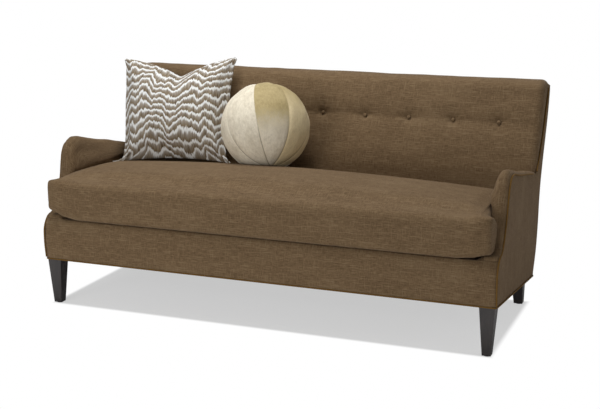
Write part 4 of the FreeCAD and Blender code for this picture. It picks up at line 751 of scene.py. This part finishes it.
def pillow_mesh():
    """Two sheets of n by n points, joined by a narrow strip round their edges."""
    n = 91
    u = np.sin(np.linspace(-1, 1, n) * math.pi / 2) * 0.35 + np.linspace(-1, 1, n) * 0.65
    s, t = np.meshgrid(u, u)
    sheets = []
    cloths = []
    for side in (-1, 1):
        drawn = np.interp(t, [-1, -0.93, -0.82, -0.6, 0.35, 0.8, 1], [0, 0.5, 0.88, 1.0, 1.0, 0.7, 0.25])
        slack = 0.026 * np.interp(t, [-1, -0.95, -0.87, -0.5, 0.2, 1], [0, 0.5, 1.0, 0.85, 0.2, 0])
        ear = 0.020 * smoothstep(-0.86, -1.0, t) * smoothstep(-0.3, -1.0, s)
        width = PILLOW_HALF[0] - 0.029 * drawn - slack * smoothstep(0.2, -0.7, s) + ear
        from_dent = np.abs(s - 0.045 * (1 - s ** 2))
        dent = np.interp(from_dent, [0, 0.25, 0.5, 0.72, 0.88, 0.96, 1],
                         [1, 0.60, 0.32, 0.14, 0.05, 0.01, 0])
        top = PILLOW_HALF[1] - 0.088 * dent
        low = -PILLOW_HALF[1] + 0.026 * (1 - s ** 2)
        tip = 0.009 * smoothstep(0.93, 1.0, np.abs(s)) * smoothstep(0.93, 1.0, np.abs(t))
        x = s * width - np.sign(s) * tip
        z = (top + low) / 2 + t * (top - low) / 2 - np.sign(t) * tip
        swell = (1 - np.abs(s) ** 2.6) ** 0.85 * (1 - np.abs(t) ** 2.6) ** 0.85
        y = side * (0.004 + 0.100 * swell)
        sheets.append(gathered(x, y, z))
        cloths.append(gathered(s * 0.262 + side, t * 0.252))
    work = bmesh.new()
    layer = work.loops.layers.uv.new("Cloth")
    grids = []
    for sheet in sheets:
        grids.append([[work.verts.new(sheet[i, j]) for j in range(n)] for i in range(n)])
    for grid, cloth in zip(grids, cloths):
        for i in range(n - 1):
            for j in range(n - 1):
                ring = [(i, j), (i, j + 1), (i + 1, j + 1), (i + 1, j)]
                made = work.faces.new([grid[a][b] for a, b in ring])
                for loop, (a, b) in zip(made.loops, ring):
                    loop[layer].uv = cloth[a, b]
    edge = [(0, j) for j in range(n)] + [(i, n - 1) for i in range(1, n)]
    edge += [(n - 1, j) for j in range(n - 2, -1, -1)] + [(i, 0) for i in range(n - 2, 0, -1)]
    for k, (a, b) in enumerate(edge):
        c, d = edge[(k + 1) % len(edge)]
        made = work.faces.new([grids[0][a][b], grids[0][c][d], grids[1][c][d], grids[1][a][b]])
        for loop, (i, j) in zip(made.loops, ((a, b), (c, d), (c, d), (a, b))):
            loop[layer].uv = cloths[0][i, j]
    return mesh_from(work, "square_pillow")


def pillow_turn():
    """How the pillow stands: turned to the middle, leant back and rolled a little."""
    turn = Euler((0, 0, math.radians(10.4))).to_matrix()
    lean = Euler((math.radians(-29.0), 0, 0)).to_matrix()
    roll = Euler((0, math.radians(-1.9), 0)).to_matrix()
    return (turn @ lean @ roll).to_4x4()


# %% [markdown]
# ## The pillow's cloth and the ball's hide
# The pillow is woven with uneven wavy bands: each has a pale ridge above, and fine upright threads
# fade from it into the taupe ground. The ball is sewn from gores of short-haired hide.


# %% Wavy cloth and cream hide
def wavy_cloth():
    cloth = Finish("wavy_cloth", Roughness=0.9, Sheen_Weight=0.05, Specular_IOR_Level=0.2)
    at = cloth.cloth()
    v = cloth.part(at, 1)
    broad = cloth.noise(cloth.scaled(at, 7.5, 2.4), 1.0, 1.0, 0.5)
    bend = cloth.noise(cloth.scaled(at, 26.0, 5.0), 1.0, 2.0, 0.5)
    thread = cloth.noise(cloth.scaled(at, 330.0, 12.0), 1.0, 2.0, 0.6)
    spikes = cloth.noise(cloth.scaled(at, 260.0, 26.0), 1.0, 1.0)
    bands = v * 24.0 + (broad - 0.5) * 4.6 + (bend - 0.5) * 2.2
    phase = (bands + (spikes - 0.5) * 0.62).maths("FRACT")
    ridge = phase.smooth(0.52, 0.76) * (1 - phase.smooth(0.92, 1.0))
    fade = phase.smooth(0.05, 0.75) * 0.60
    streak = ((thread - 0.5) * 3.2 + 0.5).clamp()
    ground = cloth.mix(streak, colour(80, 62, 41), colour(152, 136, 111))
    grey = cloth.mix((fade * (0.55 + streak * 0.8)).clamp(), ground, colour(188, 184, 177))
    cloth.set(Base_Color=cloth.mix(ridge, grey, colour(232, 233, 232)))
    cloth.set(Normal=cloth.bump(thread * 0.5 + ridge, 0.4, 0.0008))
    return cloth.material


def cream_hide():
    hide = Finish("cream_hide", Roughness=0.75, Sheen_Weight=0.08, Sheen_Roughness=0.4,
                  Specular_IOR_Level=0.2)
    at = hide.cloth()
    gore = (hide.part(at, 0) + 0.5).maths("FLOOR")
    v = hide.part(at, 1)
    seam = hide.node("ShaderNodeAttribute", {"attribute_name": "seam"}, {}, "Fac")
    hair = hide.noise(hide.scaled(at, 700.0, 150.0), 1.0, 2.0, 0.6)
    tufts = hide.noise(hide.scaled(at, 120.0, 60.0), 1.0, 3.0, 0.6)
    mottle = hide.noise(hide.scaled(at, 22.0, 16.0), 1.0, 3.0, 0.6)
    tone = ((mottle - 0.5) * 1.3 + (tufts - 0.5) * 1.5 + (hair - 0.5) * 0.9 + 0.5).clamp()
    second = 1 - (gore - 1.0).maths("ABSOLUTE").smooth(0.2, 0.8)
    first = 2 - gore.maths("ABSOLUTE").smooth(0.2, 0.8) - (gore - 7.0).maths("ABSOLUTE").smooth(0.2, 0.8)
    edge = v + (tufts - 0.5) * 0.08
    gold = second * edge.smooth(0.16, 0.29)
    cream = hide.mix(tone, colour(208, 197, 174), colour(246, 237, 217))
    warm = hide.mix(tone, colour(160, 142, 98), colour(190, 172, 128))
    sand = hide.mix(tone, colour(204, 186, 146), colour(232, 214, 174))
    coat = hide.mix(first, hide.mix(gold, cream, warm), hide.mix(edge.smooth(0.24, 0.40), sand, warm))
    # Seam lines: a faint dark joint everywhere, deepened by painted shade in the grooves on the lower half
    # of the ball
    lower = 1 - v.smooth(0.15, 0.27)
    line = (1 - seam.smooth(0.0003, 0.0036)) * (lower * (0.34 + tufts * 0.36) + 0.06)
    hide.set(Base_Color=hide.mix(line, coat, colour(96, 78, 52)),
             Normal=hide.bump(hair + tufts * 0.6, 0.35, 0.0009))
    return hide.material


pillow = pillow_mesh()
pillow.transform(pillow_turn())
pillow.transform(Matrix.Translation(PILLOW_CENTRE))
stuffed(pillow, 4.0, 0.012, lambda points: 1.0)
seat_surface = surface(cushion)
back_surface = surface(back)
pressed(pillow, back_surface, Vector((0, -1, 0)))
pressed(pillow, seat_surface, Vector((0, 0, 1)))
piece("square_pillow", pillow, wavy_cloth(), "square_pillow",
      ["square_pillow_cover", "square_pillow_filling"])

# %% Ball pillow
BALL_CENTRE = Vector((-0.167, FRONT + 0.503, 0.686))
BALL_RADIUS = 0.1800
GORES = 8


def ball_mesh():
    """Eight gores, each with its own stretch of cloth coordinates, and a groove along each seam."""
    across = np.linspace(-0.5, 0.5, 27)
    gore, share = np.meshgrid(np.arange(GORES), across, indexing="ij")
    gore, share = gore.ravel()[None, :], share.ravel()[None, :]
    polar = np.linspace(0, math.pi, 111)[:, None]
    angle = (gore + 0.5 + share) * 2 * math.pi / GORES
    width = BALL_RADIUS * np.sin(polar) * 2 * math.pi / GORES
    from_seam = (0.5 - np.abs(share)) * width
    groove = 0.0026 * np.exp(-from_seam / 0.006)
    bulge = 0.0022 * (from_seam / 0.07) ** 0.6
    lumps = 0.0008 * ripples(gore * 3.1 + share * width, polar * 0.18, 0.06, 51)
    radius = BALL_RADIUS - groove + bulge + lumps * np.minimum(from_seam / 0.02, 1)
    points = gathered(radius * np.sin(polar) * np.cos(angle), radius * np.sin(polar) * np.sin(angle),
                      radius * np.cos(polar))
    mesh = sheet_mesh("ball_pillow", points, gathered(gore + share * width, polar * BALL_RADIUS))
    seam = mesh.attributes.new("seam", "FLOAT", "POINT")
    seam.data.foreach_set("value", from_seam.astype(np.float32).ravel())
    return tidy_mesh(mesh, merge=0.00005)


def ball_turn():
    """The gores meet at a pole that faces down, towards the camera."""
    pole = Vector((0.124, -0.92, 0.37)).normalized()
    first = (Vector((1, 0, 0)) - pole * pole.x).normalized()
    second = pole.cross(first)
    basis = Matrix((first, second, pole)).transposed()
    return camera.rotation_euler.to_matrix() @ basis @ Matrix.Rotation(math.radians(12.0), 3, "Z")


ball = ball_mesh()
ball.transform(ball_turn().to_4x4())
ball.transform(Matrix.Translation(BALL_CENTRE))
pressed(ball, back_surface, Vector((0, -1, 0)))
pressed(ball, seat_surface, Vector((0, 0, 1)))
piece("ball_pillow", ball, cream_hide(), "ball_pillow",
      ["ball_pillow_cover", "ball_pillow_filling"])

# %% [markdown]
# ## Outside panels and piping
# Flat covered panels close the sides. Piping runs up the front of the base, over the arm and up the
# back, and round the hem.


# %% Paths of the piping
def between(first, second, z):
    """The point at a height on the straight line through two points."""
    share = (z - first[1]) / (second[1] - first[1])
    return (first[0] + (second[0] - first[0]) * share, z)


def arm_edge():
    """The outer edge of the base's front and of the arm, in side view."""
    swell = ((0.0, 0.0), (-1.0, 0.45), (-0.3, 0.83))
    front = [(FRONT + 0.003 + 0.008 * a, HEM_FRONT + 0.1647 * b) for a, b in swell]
    line = arm_line(np.array([FRONT_ROUND * 0.18 + 0.003]), np.array([TOP_ROUND * 0.145 + 0.003]))[1:-1, 0]
    return front + [tuple(p) for p in line]


def strip_edge():
    """Front edge of the side strip of the back."""
    rear = rear_edge(0.116, 0.742)
    low, high = 0.5317, 0.853
    points = []
    for up, width in ((0.0, 1.0), (0.22, 0.80), (0.5, 0.60), (0.75, 0.52), (1.0, 0.42)):
        z = low + (high - low) * up
        points.append((between(rear[5], rear[6], z)[0] - 0.136 * width, z))
    return points


def moved_line(points, distance):
    """A line moved to its right-hand side, smoothly."""
    slope = directions(points)
    return points + distance * gathered(slope[:, 1], -slope[:, 0])


arm_path = through(arm_edge(), 140)
strip_path = through(strip_edge(), 60)


def side_panel(side, name):
    """A flat panel inside the piping, cut into small squares, that swells a little off its edge."""
    line = moved_line(np.vstack([arm_path[::3], strip_path[2::3]]), 0.0034)
    rear = through(rear_edge(0.116, 0.742), 60)
    rear = rear[(rear[:, 1] < 0.8505) & (rear[:, 1] > 0.121)]
    outline = [tuple(p) for p in settled(line, side)] + [tuple(p) for p in rear[::-1]]
    outline[0] = (outline[0][0], hem_at(FRONT) + 0.0005)
    outline.append((rear[0, 0] - 0.0005, hem_at(rear[0, 0]) + 0.0005))
    work = bmesh.new()
    work.faces.new([work.verts.new((SIDE, y, z)) for y, z in outline])
    for axis, low, high in ((1, -0.45, 0.48), (2, 0.10, 0.86)):
        for place in np.arange(low, high, 0.02):
            normal = Vector((0, 0, 0))
            normal[axis] = 1
            geometry = work.verts[:] + work.edges[:] + work.faces[:]
            bmesh.ops.bisect_plane(work, geom=geometry, plane_co=normal * place, plane_no=normal)
    bmesh.ops.triangulate(work, faces=[f for f in work.faces if len(f.verts) > 4])
    closed = np.array(outline + outline[:1])
    starts = closed[:-1]
    spans = closed[1:] - starts
    lengths = np.maximum(np.einsum("ij,ij->i", spans, spans), 1e-12)
    layer = work.loops.layers.uv.new("Cloth")
    for vertex in work.verts:
        at = np.array([vertex.co.y, vertex.co.z])
        along = np.clip(np.einsum("ij,ij->i", at - starts, spans) / lengths, 0, 1)
        away = np.min(np.linalg.norm(starts + spans * along[:, None] - at, axis=1))
        vertex.co.x = side * (SIDE + 0.0006 + 0.0026 * float(smoothstep(0.0, 0.02, away)))
    for face in work.faces:
        for loop in face.loops:
            loop[layer].uv = (loop.vert.co.z, loop.vert.co.y)
    return mesh_from(work, name)


for side, mark in SIDES:
    panel = side_panel(side, "side_panel_" + mark)
    made = piece(panel.name, panel, brown_linen, "settee_frame",
                 ["outside_arm_panel_" + mark])

# %% [markdown]
# ## Piping with Geometry Nodes
# A welt is a cord in a folded strip of cloth: a round section that follows a path. Geometry Nodes
# sweep it, from a path curve that holds nothing else.


# %% What the trees share
def add_node(tree, kind, inputs=None, **settings):
    """A new node with its settings. Each input gets a value, or a link from the socket given for it."""
    made = tree.nodes.new(kind)
    for name, value in settings.items():
        setattr(made, name, value)
    for key, value in (inputs or {}).items():
        if isinstance(value, bpy.types.NodeSocket):
            tree.links.new(value, made.inputs[key])
        else:
            made.inputs[key].default_value = value
    return made


def new_tree(name, floats):
    """A tree with a geometry socket each way and named sizes in metres or radians."""
    tree = bpy.data.node_groups.new(name, "GeometryNodeTree")
    tree.interface.new_socket("Geometry", in_out="INPUT", socket_type="NodeSocketGeometry")
    for label, value in floats.items():
        socket = tree.interface.new_socket(label, in_out="INPUT", socket_type="NodeSocketFloat")
        socket.default_value = value
    tree.interface.new_socket("Geometry", in_out="OUTPUT", socket_type="NodeSocketGeometry")
    return tree, tree.nodes.new("NodeGroupInput").outputs


def finish_tree(tree, geometry, material, with_cloth=True):
    """Makes a tree's geometry real and smooth, with cloth coordinates if it needs them, and paints it."""
    real = add_node(tree, "GeometryNodeRealizeInstances", {0: geometry})
    last = add_node(tree, "GeometryNodeSetShadeSmooth", {0: real.outputs[0]})
    if with_cloth:
        place = add_node(tree, "GeometryNodeInputPosition")
        last = add_node(tree, "GeometryNodeStoreNamedAttribute",
                        {"Name": "Cloth", "Geometry": last.outputs[0], "Value": place.outputs[0]},
                        data_type="FLOAT2", domain="CORNER")
    painted = add_node(tree, "GeometryNodeSetMaterial", {"Geometry": last.outputs[0], "Material": material})
    add_node(tree, "NodeGroupOutput", {0: painted.outputs[0]})
    return tree


# %% A tree that sweeps a welt along a path
def welt_tree(material):
    tree, start = new_tree("Welt", {"Radius": 0.003, "Spacing": 0.006})
    even = add_node(tree, "GeometryNodeResampleCurve",
                    {"Curve": start["Geometry"], "Length": start["Spacing"]}, mode="LENGTH")
    ring = add_node(tree, "GeometryNodeCurvePrimitiveCircle", {"Resolution": 10, "Radius": start["Radius"]})
    sweep = add_node(tree, "GeometryNodeCurveToMesh",
                     {"Curve": even.outputs[0], "Profile Curve": ring.outputs[0], "Fill Caps": True})
    return finish_tree(tree, sweep.outputs[0], material, with_cloth=False)


def curve_object(name, lines):
    """A curve with a spline for each line, which is closed or open."""
    curve = bpy.data.curves.new(name, "CURVE")
    curve.dimensions = "3D"
    for line, cyclic in lines:
        spline = curve.splines.new("POLY")
        spline.points.add(len(line) - 1)
        spline.points.foreach_set("co", np.c_[np.array(line), np.ones(len(line))].ravel())
        spline.use_cyclic_u = cyclic
    made = bpy.data.objects.new(name, curve)
    scene.collection.objects.link(made)
    return made


def run_tree(source, tree, **inputs):
    """The plain mesh that a tree makes from an object, which is then deleted."""
    nodes_of = source.modifiers.new("Nodes", "NODES")
    nodes_of.node_group = tree
    for item in tree.interface.items_tree:
        if item.item_type == "SOCKET" and item.in_out == "INPUT" and item.name in inputs:
            nodes_of[item.identifier] = inputs[item.name]
    bpy.context.view_layer.update()
    mesh = bpy.data.meshes.new_from_object(source.evaluated_get(bpy.context.evaluated_depsgraph_get()))
    bpy.data.objects.remove(source)
    return mesh


welts = welt_tree(piping_cloth)
WELT_X = 0.912


def side_path(x, line, low):
    """A line in side view, set at one x, from a height upwards."""
    return [(x, y, z) for y, z in line if z > low]


def hem_path():
    """Once round the foot of the settee, with a small round at each corner."""
    front = FRONT + 0.0012
    rear = REAR - 0.0012
    radius = 0.009
    ring = []
    corners = ((WELT_X, front, -90), (WELT_X, rear, 0), (-WELT_X, rear, 90), (-WELT_X, front, 180))
    for x, y, start in corners:
        middle_x = x - math.copysign(radius, x)
        middle_y = y + radius if y < 0 else y - radius
        for step in range(5):
            angle = math.radians(start + 22.5 * step)
            at = middle_y + radius * math.sin(angle)
            ring.append((middle_x + radius * math.cos(angle), at, hem_at(at)))
    return ring


for side, mark in SIDES:
    along_arm = side_path(side * WELT_X, settled(arm_path, side), 0.1945)
    along_back = side_path(side * WELT_X, strip_path, 0.545)
    paths = curve_object("welt_path", [(along_arm, False), (along_back, False)])
    piece("side_piping_" + mark, run_tree(paths, welts), piping_cloth, "settee_frame",
          ["side_welt_" + mark])
paths = curve_object("hem_path", [(hem_path(), True)])
piece("hem_piping", run_tree(paths, welts, Spacing=0.004), piping_cloth, "settee_frame",
      ["hem_welt"])

# %% [markdown]
# ## Covered buttons
# Nine buttons, each a small domed shell in linen. A tree puts the same button on every point of a
# mesh that holds only the places, and tilts it to lie along the face of the back.


# %% A tree that puts a button on each point
def button_tree(material):
    tree, start = new_tree("Buttons", {"Radius": 0.008, "Dome": 0.005, "Tilt": 1.2})
    ball = add_node(tree, "GeometryNodeMeshUVSphere", {"Segments": 24, "Rings": 12})
    size = add_node(tree, "ShaderNodeCombineXYZ",
                    {0: start["Radius"], 1: start["Radius"], 2: start["Dome"]})
    turn = add_node(tree, "ShaderNodeCombineXYZ", {0: start["Tilt"]})
    turned = add_node(tree, "FunctionNodeEulerToRotation", {0: turn.outputs[0]})
    put = add_node(tree, "GeometryNodeInstanceOnPoints",
                   {"Points": start["Geometry"], "Instance": ball.outputs["Mesh"],
                    "Rotation": turned.outputs[0], "Scale": size.outputs[0]})
    return finish_tree(tree, put.outputs[0], material)


places = bpy.data.meshes.new("button_places")
places.from_pydata([(x,) + BUTTON_PLACE for x in BUTTONS], [], [])
dots = bpy.data.objects.new("button_places", places)
scene.collection.objects.link(dots)
buttons = run_tree(dots, button_tree(brown_linen), Radius=0.0082, Dome=0.0056,
                   Tilt=math.pi / 2 - math.atan(FACE_SLOPE))
piece("covered_buttons", buttons, brown_linen, "settee_frame", ["buttons"])

# %% [markdown]
# ## Legs
# Square tapered legs in dark stained wood, with eased edges.


# %% Dark wood and the legs
def dark_wood():
    """Dark stain with a fine upright grain."""
    wood = Finish("dark_wood", Roughness=0.42, Coat_Weight=0.25, Coat_Roughness=0.3)
    at = wood.place()
    grain = wood.noise(wood.scaled(at, 160.0, 160.0, 9.0), 1.0, 4.0, 0.6)
    broad = wood.noise(wood.scaled(at, 30.0, 30.0, 4.0), 1.0, 2.0)
    tone = (grain - 0.5) * 1.6 + (broad - 0.5) * 0.8 + 0.5
    wood.set(Base_Color=wood.mix(tone.clamp(), colour(29, 26, 26), colour(54, 47, 45)),
             Normal=wood.bump(grain, 0.12, 0.0004))
    return wood.material


def leg_mesh(name, x, top_y, foot_y, top_width, foot_width, height):
    """A square leg that tapers to its foot, which stands on a glide 3 mm thick."""
    glide = 0.003
    outline = ((-1, -1), (1, -1), (1, 1), (-1, 1))
    work = bmesh.new()
    rings = []
    for share in np.linspace(0, 1, 9):
        half = (foot_width + (top_width - foot_width) * share) / 2
        y = foot_y + (top_y - foot_y) * share
        z = glide + (height - glide) * share
        rings.append([work.verts.new((x + a * half, y + b * half, z)) for a, b in outline])
    for low, high in zip(rings, rings[1:]):
        for k in range(4):
            work.faces.new([low[k], low[(k + 1) % 4], high[(k + 1) % 4], high[k]])
    work.faces.new(rings[0][::-1])
    work.faces.new(rings[-1])
    rails = [e for e in work.edges if len(e.link_faces) == 2 and e.calc_face_angle(0) > 1.0
             and not all(v in rings[-1] for v in e.verts)]
    bmesh.ops.bevel(work, geom=rails, offset=0.0018, segments=2, profile=0.5, affect="EDGES")
    return mesh_from(work, name, flat=True)


wood = dark_wood()
for side, mark in SIDES:
    for end, inset, top_y, foot_y, top_width, foot_width, height in (
            ("front", 0.878, -0.411, -0.411, 0.058, 0.032, 0.190),
            ("rear", 0.862, 0.205, 0.240, 0.050, 0.034, 0.126)):
        node = "leg_%s_%s" % (end, mark)
        piece("tapered_" + node, leg_mesh(node, side * inset, top_y, foot_y, top_width, foot_width, height),
              wood, "settee_frame", [node])

# %% [markdown]
# ## Floor and light
# A white studio floor and three square lamps: one above, a broad one in front on the left, and a weak
# one at the right side. The floor shows pure white beside the settee and a soft shadow under it.


# %% Floor, world and lamps
def pale_floor():
    """White. To the camera it glows by itself, fully so where the settee doesn't stand over it."""
    floor = Finish("pale_floor", Roughness=0.9, Base_Color=colour(235, 235, 235))
    tree = floor.tree
    glow = floor.node("ShaderNodeEmission", {}, {"Color": (1, 1, 1, 1), "Strength": 1.0})
    seen = floor.node("ShaderNodeLightPath", {}, {}, "Is Camera Ray")
    at = floor.place()
    half_length, front_edge, rear_edge_line = 0.885, 0.420, 0.262
    beside = floor.part(at, 0).maths("ABSOLUTE") - half_length
    front = floor.part(at, 1).maths("MULTIPLY", -1.0) - front_edge
    behind = floor.part(at, 1) - rear_edge_line
    away = beside.maths("MAXIMUM", front).maths("MAXIMUM", behind)
    share = seen * (0.53 + away.smooth(-0.004, 0.022) * 0.47)
    blend = tree.nodes.new("ShaderNodeMixShader")
    floor.feed(blend.inputs[0], share)
    tree.links.new(floor.shader.outputs[0], blend.inputs[1])
    tree.links.new(glow.socket, blend.inputs[2])
    tree.links.new(blend.outputs[0], tree.nodes["Material Output"].inputs["Surface"])
    return floor.material


bpy.ops.mesh.primitive_plane_add(size=40.0)
floor = bpy.context.object
floor.name = "floor"
floor.data.materials.append(pale_floor())

world = bpy.data.worlds.new("Studio")
scene.world = world
world.use_nodes = True
tree = world.node_tree
background = tree.nodes["Background"]
background.inputs["Color"].default_value = (1.0, 1.0, 1.0, 1.0)
seen = add_node(tree, "ShaderNodeLightPath").outputs["Is Camera Ray"]
strength = add_node(tree, "ShaderNodeMapRange", {"To Min": 0.23, "To Max": 1.0, "Value": seen})
tree.links.new(strength.outputs[0], background.inputs["Strength"])


def lamp(name, place, target, size, power):
    made = bpy.data.objects.new(name, bpy.data.lights.new(name, "AREA"))
    made.data.shape = "SQUARE"
    made.data.size = size
    made.data.energy = power
    made.location = place
    made.rotation_euler = (Vector(target) - Vector(place)).to_track_quat("-Z", "Y").to_euler()
    scene.collection.objects.link(made)


lamp("Top", (-0.40, 0.10, 3.9), (0, -0.1, 0.3), 1.8, 102)
lamp("Front", (-1.3, -4.4, 1.3), (0, 0, 0.4), 2.2, 70)
lamp("Side", (3.2, 0.2, 1.0), (0.9, 0, 0.4), 1.2, 6.5)
scene.view_settings.view_transform = "Standard"

# %% [markdown]
# ## The inside and the underside
# What stays from the CAD model, such as the lumber, the springs and the foam, gets its own finish.


# %% Finishes of the hidden pieces
def plain_finish(name, first, second, scale, rough, metallic=0.0, stretch=(1.0, 1.0, 1.0), bump=0.2):
    """One noise between two colours, with a little relief."""
    made = Finish(name, Roughness=rough, Metallic=metallic)
    at = made.scaled(made.place(), *stretch)
    grain = made.noise(at, scale, 3.0, 0.6)
    tone = ((grain - 0.5) * 1.6 + 0.5).clamp()
    made.set(Base_Color=made.mix(tone, colour(*first), colour(*second)),
             Normal=made.bump(grain, bump, 0.0005))
    return made.material


finishes = {"brown_linen": brown_linen, "welt_cloth": piping_cloth, "dark_wood": wood}
for name, first, second, scale, rough, more in (
        ("frame_wood", (176, 140, 96), (206, 174, 128), 14.0, 0.7, {"stretch": (1.0, 12.0, 12.0)}),
        ("padding", (226, 214, 178), (240, 232, 206), 420.0, 0.95, {}),
        ("jute", (150, 118, 76), (184, 152, 104), 600.0, 0.95, {"bump": 0.5}),
        ("dust_cloth", (24, 24, 25), (44, 44, 46), 700.0, 0.9, {"bump": 0.4}),
        ("zinc_steel", (150, 152, 156), (186, 188, 192), 90.0, 0.35, {"metallic": 1.0}),
        ("clip_plastic", (40, 40, 42), (52, 52, 54), 300.0, 0.5, {}),
        ("glide_plastic", (42, 38, 36), (56, 52, 50), 300.0, 0.5, {}),
        ("zip_plastic", (70, 58, 44), (86, 72, 56), 400.0, 0.5, {}),
        ("zip_brass", (178, 140, 74), (206, 172, 104), 200.0, 0.3, {"metallic": 1.0})):
    finishes[name] = plain_finish(name, first, second, scale, rough, **more)

# %% [markdown]
# ## Dust cover, staples and zip
# Black cloth closes the underside, held by staples. The cushion's cover opens along its back with a
# zip: two tapes with teeth. Staples and teeth are short rods, set along a line by one tree.


# %% A tree that sets rods along a line
def rod_tree(material):
    tree, start = new_tree("Rods", {"Spacing": 0.03, "Radius": 0.0005, "Length": 0.01, "Turn": 0.0})
    even = add_node(tree, "GeometryNodeCurveToPoints",
                    {"Curve": start["Geometry"], "Length": start["Spacing"]}, mode="LENGTH")
    rod = add_node(tree, "GeometryNodeMeshCylinder",
                   {"Vertices": 8, "Radius": start["Radius"], "Depth": start["Length"]})
    turn = add_node(tree, "ShaderNodeCombineXYZ", {0: start["Turn"]})
    laid = add_node(tree, "GeometryNodeTransform",
                    {"Geometry": rod.outputs["Mesh"], "Rotation": turn.outputs[0]})
    put = add_node(tree, "GeometryNodeInstanceOnPoints",
                   {"Points": even.outputs["Points"], "Instance": laid.outputs[0],
                    "Rotation": even.outputs["Rotation"]})
    return finish_tree(tree, put.outputs[0], material)


# %% Dust cover with its staples, and the zip of the cushion
def dust_sheet():
    """Stretched under the rails, and sagging a little between them."""
    half, front, rear = 0.905, -0.378, 0.176
    x = np.linspace(-half, half, 91)[None, :]
    y = np.linspace(front, rear, 31)[:, None]
    sag = smoothstep(0, 0.10, half - np.abs(x)) * smoothstep(0, 0.08, y - front)
    sag = sag * smoothstep(0, 0.08, rear - y)
    z = hem_at(y) + 0.0052 - sag * (0.004 + 0.0012 * ripples(x, y, 0.22, 61))
    return sheet_mesh("dust_cover_sheet", gathered(x, y, z), gathered(x, y))


def zip_line(height, out):
    """A straight line along the cushion's rear, at a height on it and this far off it."""
    y = ZIP_PLACE[0] + 0.33 * (height - ZIP_PLACE[1])
    return [(x, y + out, height) for x in (-0.6, 0.6)]


def zip_tape():
    """Two tapes side by side, thin and closed."""
    work = bmesh.new()
    inside, outside = -0.0006, 0.0004
    for low, high in ((0.3655, 0.3764), (0.3776, 0.3889)):
        corners = ((low, inside), (high, inside), (high, outside), (low, outside))
        ring = [zip_line(height, out) for height, out in corners]
        first, last = ([work.verts.new(line[k]) for line in ring] for k in (0, 1))
        for k in range(4):
            work.faces.new([first[k], first[(k + 1) % 4], last[(k + 1) % 4], last[k]])
        work.faces.new(first)
        work.faces.new(last)
    return mesh_from(work, "zip_tape", flat=True)


dust = piece("dust_cover_sheet", dust_sheet(), finishes["dust_cloth"], "settee_frame",
             ["dust_cover"])
corners = ((0.895, -0.37), (0.895, 0.168), (-0.895, 0.168), (-0.895, -0.37))
edge = curve_object("staple_line", [([(x, y, hem_at(y) + 0.0046) for x, y in corners], True)])
staples = run_tree(edge, rod_tree(finishes["zinc_steel"]), Spacing=0.045, Radius=0.0005, Length=0.010)
piece("staples", staples, finishes["zinc_steel"], "settee_frame")
piece("zip_tape", zip_tape(), finishes["zip_plastic"], "seat_cushion", ["cushion_zip_chain"])
rows = curve_object("teeth_line", [(zip_line(0.3778, 0.0011), False), (zip_line(0.3762, 0.0011), False)])
teeth = run_tree(rows, rod_tree(finishes["zip_brass"]), Spacing=0.004, Radius=0.0008, Length=0.0026,
                 Turn=math.pi / 2)
piece("zip_teeth", teeth, finishes["zip_brass"], "seat_cushion")

# %% Finishes on the CAD pieces that stay in sight
for node in nodes.values():
    for held in node.material_slots:
        key = held.material.name.split(".")[0] if held.material else ""
        if key in finishes:
            held.material = finishes[key]
print("slots", sorted({s.material.name for n in nodes.values() for s in n.material_slots if s.material}))
